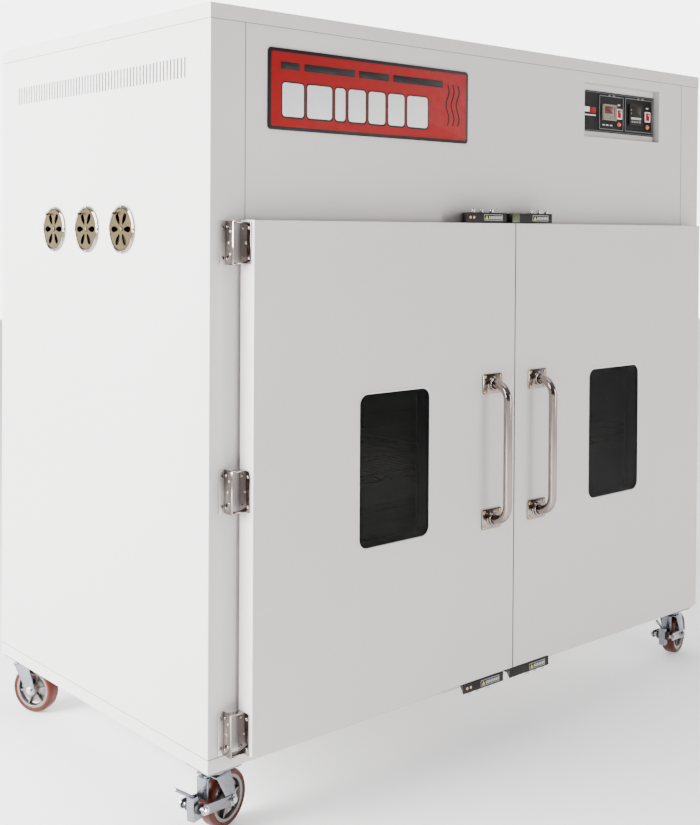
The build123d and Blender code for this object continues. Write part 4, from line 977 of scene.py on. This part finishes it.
WIN_X, WIN_Z, WIN_W, WIN_H, WIN_R = 484.5, 600.5, 231.0, 361.0, 28.0
PANE = 5.6                        # a pane with its gap to the spacer
for side in SIDES:
    bm = bmesh.new()
    outline = rounded_outline(sided(WIN_X, side), WIN_Z, WIN_W, WIN_H, WIN_R, 10)
    lip = [(0, 1.4), (0, -0.6), (-0.5, -1.1), (-1.4, -1.2), (-3.4, -0.6), (-4.6, 0.4), (-5.0, 1.4)]
    front_frame(bm, outline, DOOR_FACE, lip)
    add_piece(f"{side}_window_lip", bm, "rim_white", [f"{side}_window_rim"], f"{side}_door")
    bm = bmesh.new()
    front, back = DOOR_FACE + PANE, DOOR_INSIDE - PANE
    front_frame(bm, outline, 0, [(6.0, front), (-5.8, front), (-5.8, back), (6.0, back)])
    add_piece(f"{side}_window_spacer", bm, "panel_black", body=f"{side}_door")
    low, high = local_box(f"{side}_door_gasket")
    outline = outline_between(low[0], high[0], low[2], high[2], 12)
    thick = high[1] - low[1]
    bm = bmesh.new()
    front_frame(bm, outline, low[1], [(0, 0), (-16, 0), (-16, 2), (-13, 3), (-12.4, 5), (-10.4, thick - 0.4),
                                      (-8, thick), (-5.6, thick - 0.4), (-3.6, 5), (-3, 3), (0, 2)])
    add_piece(f"{side}_bulb_seal", bm, "silicone_red", [f"{side}_door_gasket"], f"{side}_door")


# ---- casters ----

WHEEL_R, TRAIL = 62.5, 30.0
AXLE_Z = WHEEL_R - (CORNER.z - CAD_BOX[0][2]) / MM
LEG_IN, LEG_T, ARM_T = 24.0, 4.0, 3.0
BOLT_X, BOLT_Z = -64.0, -73.0
CASTERS = ("front_left", "front_right", "rear_left", "rear_right")


class CasterFrame:
    """Places points given about a caster's swivel: x where the wheel trails, y across, z up."""

    def __init__(self, corner):
        swivel = Vector(JOINTS[f"{corner}_swivel"]["pos_m"])
        self.origin = Vector((swivel.x, swivel.y, CORNER.z))
        self.along_axle = Vector(JOINTS[f"{corner}_roll"]["axis"])
        self.trail = self.along_axle.cross(Z)

    def __call__(self, x, y, z):
        return self.origin + (self.trail * x + self.along_axle * y + Z * z) * MM


def upright(bm, spot, points, y0, y1, radius=0.9):
    """Plate standing along the caster's x and z."""
    prism(bm, points, lambda u, v, w: spot(u, y0 + w, v), y1 - y0, radius)


def fork_piece(corner):
    """Pressed swivel fork: ball race, crown, two legs, and on a braked caster the brake's arms and strap."""
    spot = CasterFrame(corner)
    axle = spot.along_axle
    bm = bmesh.new()
    race = [(20, 0), (27, 0), (28, 1.6), (28, 5.0), (25.5, 7.0), (25.5, 8.0), (28, 9.5), (28, 12.5),
            (26, 14.6), (20, 14.6)]
    rings(bm, spot(0, 0, -5.4), -Z, race)
    crown = [(-24, -28), (24, -28), (26, -22), (26, 22), (24, 28), (-24, 28), (-26, 22), (-26, -22)]
    prism(bm, crown, lambda u, v, w: spot(u, v, -24 + w), 4.0, 1.0)
    leg = round_end([(TRAIL - 15, AXLE_Z + 2), (-24, -21), (24, -21), (TRAIL + 16, AXLE_Z + 2)],
                    (TRAIL, AXLE_Z), 16, 0, -180)
    for y0 in (-LEG_IN - LEG_T, LEG_IN):
        upright(bm, spot, leg, y0, y0 + LEG_T)
    bolts = bmesh.new()
    braked = corner.startswith("front")
    outside = LEG_IN + LEG_T + (ARM_T if braked else 0)
    for way in (-1, 1):
        hex_bolt(bolts, spot(TRAIL, way * outside, AXLE_Z), axle * way, 8.0, 6.0)
    if braked:
        tilt = math.degrees(math.atan2(AXLE_Z - BOLT_Z, TRAIL - BOLT_X))
        arm = round_end([(TRAIL + 2, AXLE_Z - 12), (TRAIL + 6, AXLE_Z + 2), (TRAIL - 4, AXLE_Z + 11)],
                        (BOLT_X, BOLT_Z), 11, 90 + tilt, 270 + tilt)
        for y0 in (-outside, LEG_IN + LEG_T):
            upright(bm, spot, arm, y0, y0 + ARM_T)
        for way in (-1, 1):
            hex_bolt(bolts, spot(BOLT_X, way * outside, BOLT_Z), axle * way, 7.0, 6.0)
        strap = [(-41, -20.5), (-41, -66), (-38, -66), (-38, -24), (-24, -24), (-24, -20.5)]
        prism(bm, strap, lambda u, v, w: spot(u, -17 + w, v), 30.0, 0.7)
        rings(bolts, spot(BOLT_X, -28, BOLT_Z), axle, [(5, 0), (5, 9.6), (5, 46.4), (5, 56)], 24)
    add_piece(f"{corner}_pressed_fork", bm, "zinc", [f"{corner}_fork"], f"{corner}_fork")
    add_piece(f"{corner}_fork_bolts", bolts, "plunger_steel", body=f"{corner}_fork")


def wheel_piece(corner):
    """Polyurethane tyre moulded on an aluminium wheel with webs and a bearing boss."""
    spot = CasterFrame(corner)
    axle = spot.along_axle
    centre = spot(TRAIL, 0, AXLE_Z)
    body = f"{corner}_wheel"
    bm = bmesh.new()
    sweep = [-1 + 2 * k / 12 for k in range(13)]
    crown = [(WHEEL_R - 5.5 * abs(t) ** 5 - 0.5 * t * t, 19.5 * t) for t in sweep]
    wall = [(50.0, 18.4), (52.5, 18.8), (55.0, 19.9)]
    profile = [(r, -h) for r, h in wall] + crown + [(r, h) for r, h in wall[::-1]]
    rings(bm, centre, axle, profile, 96, caps=False)
    add_piece(f"{corner}_tyre", bm, "tread_red", [body], body)
    bm = bmesh.new()
    half = [(6.2, 22.8), (12.5, 22.8), (14.0, 22.0), (15.0, 20.0), (16.5, 10.0), (19.0, 7.0), (26.0, 5.6),
            (36.0, 6.0), (40.0, 8.0), (42.0, 15.0), (43.0, 17.4), (45.5, 18.2), (49.98, 17.6)]
    rings(bm, centre, axle, half[::-1] + [(r, -h) for r, h in half], 96, caps=False)
    for k in range(6):
        a = k * math.pi / 3 + 0.2
        across = spot.trail * math.cos(a) + Z * math.sin(a)
        side_way = across.cross(axle)
        for way in (-1, 1):
            made = bmesh.new()
            bmesh.ops.create_cube(made, size=1.0)
            for v in made.verts:
                r = 29.0 + v.co.x * 27
                depth = 5.0 if v.co.z < 0 else (15.5 if v.co.x < 0 else 14.0)
                v.co = centre + (across * r + side_way * v.co.y * 4.0 + axle * way * depth) * MM
            join(bm, made)
    add_piece(f"{corner}_wheel_hub", bm, "hub_aluminium", [body], body)
    bm = bmesh.new()
    seal = [(6.15, 0), (11.0, 0), (11.0, 0.9), (9.5, 1.2), (6.15, 1.2)]
    for way in (-1, 1):
        rings(bm, centre + axle * way * 22.2 * MM, axle * way, seal, 32, caps=False)
    add_piece(f"{corner}_bearing_seals", bm, "gland_black", body=body)


def brake_piece(corner):
    """Cast brake pedal with a braking lobe, a pivot barrel and its release rod."""
    spot = CasterFrame(corner)
    axle = spot.along_axle
    body = f"{corner}_brake_lever"
    bm, barrel = bmesh.new(), bmesh.new()
    sleeve = [(5.05, 0), (10.8, 0), (12, 1.2), (12, 34.8), (10.8, 36), (5.05, 36)]
    rings(barrel, spot(BOLT_X, -18, BOLT_Z), axle, sleeve, 40, caps=False)
    add_piece(f"{corner}_brake_barrel", barrel, "gland_black", [body], body)
    foot, knob = spot(BOLT_X - 3, 0, BOLT_Z + 20), spot(BOLT_X - 62, 0, BOLT_Z + 61)
    reach = (knob - foot).length / MM
    rod = [(3.9, -6), (3.9, 0), (3.9, reach - 2), (3.2, reach - 0.6), (1.5, reach), (0.2, reach)]
    rings(bm, foot, (knob - foot).normalized(), rod, 20)
    lobe = [(-13, 23), (1, 23), (8, -8), (18, -22), (12, -28), (-12, -27.5), (-14, 0)]
    bridge = [(-8, 12), (2, 12), (1, 23), (-7, 23)]
    toe = [(-2, -27), (12, -28), (17, -22), (6, -20)]
    for points, half, radius in ((lobe, 10, 1.5), (bridge, 9.5, 1.2), (toe, 9.5, 1.0)):
        upright(bm, spot, [(BOLT_X + u, BOLT_Z + v) for u, v in points], -half, half, radius)
    add_piece(f"{corner}_brake_pedal", bm, "zinc", [body], body)


for corner in CASTERS:
    fork_piece(corner)
    wheel_piece(corner)
    if corner.startswith("front"):
        brake_piece(corner)

bm = bmesh.new()
for corner in CASTERS:
    origin = CasterFrame(corner).origin
    outline = [p[:2] for p in rounded_outline(0, 0, 92, 92, 8)]
    prism(bm, outline, lambda u, v, w: origin + Vector((u, v, w - 5)) * MM, 5.0, 0.8)
    rings(bm, origin + Vector((0, 0, -24)) * MM, Z, [(5, -0.6), (8, 0.6), (8, 19.5)], 24)
    for sx in (-36, 36):
        for sy in (-36, 36):
            hex_bolt(bm, origin + Vector((sx, sy, -5)) * MM, -Z, 5.2, 4.0)
add_piece("caster_mounts", bm, "zinc", ["caster_plates"])


# ---- wire shelves ----

SHELF_TOPS, SHELF_SPLIT = (862.0, 562.0, 262.0), 880.0
RIM_WIRE, CROSS_WIRES, ZIGS = 2.5, 28, 22


def straight_wires(bm, points, radius, count):
    """Separate straight wires from each point to the next."""
    for pair in zip(points, points[1:]):
        tube(bm, pair, radius, count)


def wire_shelf(bm, x0, x1, y0, y1, top):
    """Two rims with a zigzag between them, three runners and a row of cross wires."""
    around = ((x0, y0), (x1, y0), (x1, y1), (x0, y1), (x0, y0))
    for z in (top - 2.6, top - 20.5):
        straight_wires(bm, [at(x, y, z) for x, y in around], RIM_WIRE, 8)
    for k in range(CROSS_WIRES):
        x = x0 + 12 + k * (x1 - x0 - 24) / (CROSS_WIRES - 1)
        tube(bm, [at(x, y0, top - 1.6), at(x, y1, top - 1.6)], 1.5, 6)
    for y in (y0 + 185, y0 + 370, y0 + 555):
        tube(bm, [at(x0, y, top - 5.2), at(x1, y, top - 5.2)], 2.4, 8)
    for ax, ay, bx, by in ((x0, y0, x0, y1), (x1, y0, x1, y1), (x0, y0, x1, y0), (x0, y1, x1, y1)):
        zig = [at(ax + (bx - ax) * k / ZIGS, ay + (by - ay) * k / ZIGS, top - (3.5 if k % 2 else 19.6))
               for k in range(ZIGS + 1)]
        straight_wires(bm, zig, 1.6, 6)


bm = bmesh.new()
low, high = local_box("wire_shelves")
for side in SIDES:
    x0, x1 = sorted((sided(low[0], side), sided(SHELF_SPLIT, side)))
    for top in SHELF_TOPS:
        wire_shelf(bm, x0 + RIM_WIRE, x1 - RIM_WIRE, low[1] + RIM_WIRE, high[1] - RIM_WIRE, top)
add_piece("round_wire_shelves", bm, "shelf_chrome", ["wire_shelves"])


# ---- seams, and painted shade in the door gap ----

bm = bmesh.new()
fascia_low, fascia_high = local_box("front_fascia")
top_seam, base_seam = local_box("top_cap")[0][2] - 0.3, fascia_low[2] - 0.3
for x in (fascia_low[0] - 0.3, fascia_high[0] + 0.3):
    block(bm, (x - 0.8, -0.2, base_seam), (x + 0.8, 0.4, top_seam), 0.1)
for z in (top_seam, base_seam):
    block(bm, (1, -0.2, z - 0.7), (WIDTH - 1, 0.4, z + 0.7), 0.1)
    for x in (-0.2, WIDTH - 0.4):
        block(bm, (x, 1, z - 0.6), (x + 0.6, DEPTH - 1, z + 0.6), 0.1)
# dark strip on the cabinet behind the gap between the doors: painted shade in the gap
block(bm, (WIDTH / 2 - 6, -0.8, DOOR_LOW[2] + 2), (WIDTH / 2 + 6, -0.1, DOOR_HIGH[2] - 2), 0.2)
add_piece("seam_beads_and_gap_shade", bm, "seam_brown")
# dark strips on the doors' meeting edges: painted shade in the gap between the doors
for side in SIDES:
    bm = bmesh.new()
    low, high = local_box(f"{side}_door_skin")
    edge = high[0] if side == "left" else low[0]
    x0, x1 = sorted((edge, edge - sign(side) * 0.5))
    block(bm, (x0, low[1] + 0.6, low[2] + 1), (x1, high[1], high[2] - 1), 0.1)
    add_piece(f"{side}_door_edge_shade_strip", bm, "seam_brown", body=f"{side}_door")


# ---- rear screws and cable gland ----

EDGE, ROW_LOW, ROW_HIGH = 18, 50, 1574      # rows of screws near the rear sheet's edges
places = [(EDGE + k * (WIDTH - 2 * EDGE) / 8, z) for k in range(9) for z in (ROW_LOW, ROW_HIGH)]
places += [(x, ROW_LOW + k * (ROW_HIGH - ROW_LOW) / 6)
           for k in range(1, 6) for x in (EDGE, WIDTH / 2, WIDTH - EDGE)]
bm = bmesh.new()
for x, z in places:
    screw(bm, at(x, DEPTH, z), Y, 4.0, 1.8)
add_piece("rear_screws", bm, "zinc")

low, high = local_box("cable_gland")
GLAND = [(6.5, -12), (12.4, -12), (12.4, -0.1), (16.6, 0, "hex"), (17.0, 0.6, "hex"), (17.0, 7.2, "hex"),
         (16.2, 8.0, "hex"), (12.4, 8.1), (12.4, 12), (14.6, 12.2, "hex"), (15.0, 13, "hex"),
         (15.0, 18, "hex"), (12.6, 21.0), (9.0, 22), (6.5, 22)]
bm = bmesh.new()
rings(bm, at((low[0] + high[0]) / 2, DEPTH, (low[2] + high[2]) / 2), Y, GLAND, caps=False)
add_piece("gland_body", bm, "gland_black", ["cable_gland"])


# ---- camera, light and stage ----

YAW, PITCH, ROLL = math.radians(41.1166), math.radians(-0.7596), math.radians(0.3276)
EYE, LENS, RISE = (-2.3354, -2.5480, 1.2946), 53.05, -0.1992
BACKDROP_SIDE = (0.62, 0.78, 0.0)           # way from the object to the white backdrop


def aim_camera():
    """Eye-level view across the left front corner; the shift keeps the uprights parallel."""
    ahead = Vector((math.sin(YAW) * math.cos(PITCH), math.cos(YAW) * math.cos(PITCH), math.sin(PITCH)))
    level = Vector((math.cos(YAW), -math.sin(YAW), 0))
    over = level.cross(ahead)
    right = level * math.cos(ROLL) + over * math.sin(ROLL)
    up = over * math.cos(ROLL) - level * math.sin(ROLL)
    data = bpy.data.cameras.new("camera")
    data.sensor_fit = "AUTO"
    data.sensor_width = 36.0
    data.lens = LENS
    data.shift_y = RISE
    data.clip_end = 60
    camera = bpy.data.objects.new("camera", data)
    camera.matrix_world = Matrix((right, up, -ahead)).transposed().to_4x4()
    camera.location = EYE
    bpy.context.scene.collection.objects.link(camera)
    bpy.context.scene.camera = camera


def area_light(name, place, target, size, power, color=(1, 1, 1)):
    """Soft panel light aimed at a point."""
    data = bpy.data.lights.new(name, "AREA")
    data.shape = "RECTANGLE"
    data.size, data.size_y = size
    data.energy = power
    data.color = color
    light = bpy.data.objects.new(name, data)
    light.location = place
    light.rotation_euler = (Vector(target) - Vector(place)).to_track_quat("-Z", "Y").to_euler()
    bpy.context.scene.collection.objects.link(light)


def studio():
    """White floor and far side in a dim warm room; a panel on the left, a tall light at the front right."""
    world = bpy.data.worlds.new("studio")
    bpy.context.scene.world = world
    world.use_nodes = True
    tree = world.node_tree
    sky = tree.nodes["Background"]
    where = tree.nodes.new("ShaderNodeTexCoord").outputs["Generated"]
    split = tree.nodes.new("ShaderNodeSeparateXYZ")
    tree.links.new(where, split.inputs["Vector"])
    height = split.outputs["Z"]
    toward = tree.nodes.new("ShaderNodeVectorMath")
    toward.operation = "DOT_PRODUCT"
    tree.links.new(where, toward.inputs[0])
    toward.inputs[1].default_value = BACKDROP_SIDE
    both = tree.nodes.new("ShaderNodeMath")
    both.operation = "MULTIPLY"
    ahead = map_range(tree, toward.outputs["Value"], 0.05, 0.65, 0.0, 1.0, "SMOOTHSTEP")
    tree.links.new(ahead, both.inputs[0])
    tree.links.new(map_range(tree, height, 0.35, 0.75, 1.0, 0.0, "SMOOTHSTEP"), both.inputs[1])
    upward = map_range(tree, height, 0.0, 1.0, 0.0, 1.0, "SMOOTHSTEP")
    room = mix(tree, upward, (0.085, 0.068, 0.060, 1), (0.34, 0.33, 0.36, 1))
    tree.links.new(mix(tree, both.outputs["Value"], room, (5.6, 5.6, 5.6, 1)), sky.inputs["Color"])
    sky.inputs["Strength"].default_value = 1.0
    area_light("left_panel", (-4.6, 0.9, 2.2), (-0.9, 0.1, 0.9), (3.0, 2.6), 950)
    area_light("flash", (1.75, -4.3, 1.5), (-0.2, -0.4, 1.0), (1.2, 2.2), 85, (1.0, 0.965, 0.94))
    area_light("overhead", (0.0, -0.6, 4.6), (0.0, 0.0, 1.0), (3.5, 3.0), 50)
    bm = bmesh.new()
    bmesh.ops.create_grid(bm, x_segments=1, y_segments=1, size=14)
    mesh = bpy.data.meshes.new("floor")
    bm.to_mesh(mesh)
    bm.free()
    floor = bpy.data.objects.new("floor", mesh)
    floor.location.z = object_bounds()[0][2] - 0.0005
    bpy.context.scene.collection.objects.link(floor)
    f = Finish("floor_paper", (0.93, 0.93, 0.93), 0.85)
    f.mottle((0.82, 0.82, 0.83), 0.15, 0.4, 0.7, 3, 4)
    f.bump(f.noise(90, 3), 0.0004, 0.2)
    f.shader.inputs["Emission Color"].default_value = (1, 1, 1, 1)
    f.shader.inputs["Emission Strength"].default_value = 0.4
    mesh.materials.append(f.mat)
    floor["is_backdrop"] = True


aim_camera()
studio()
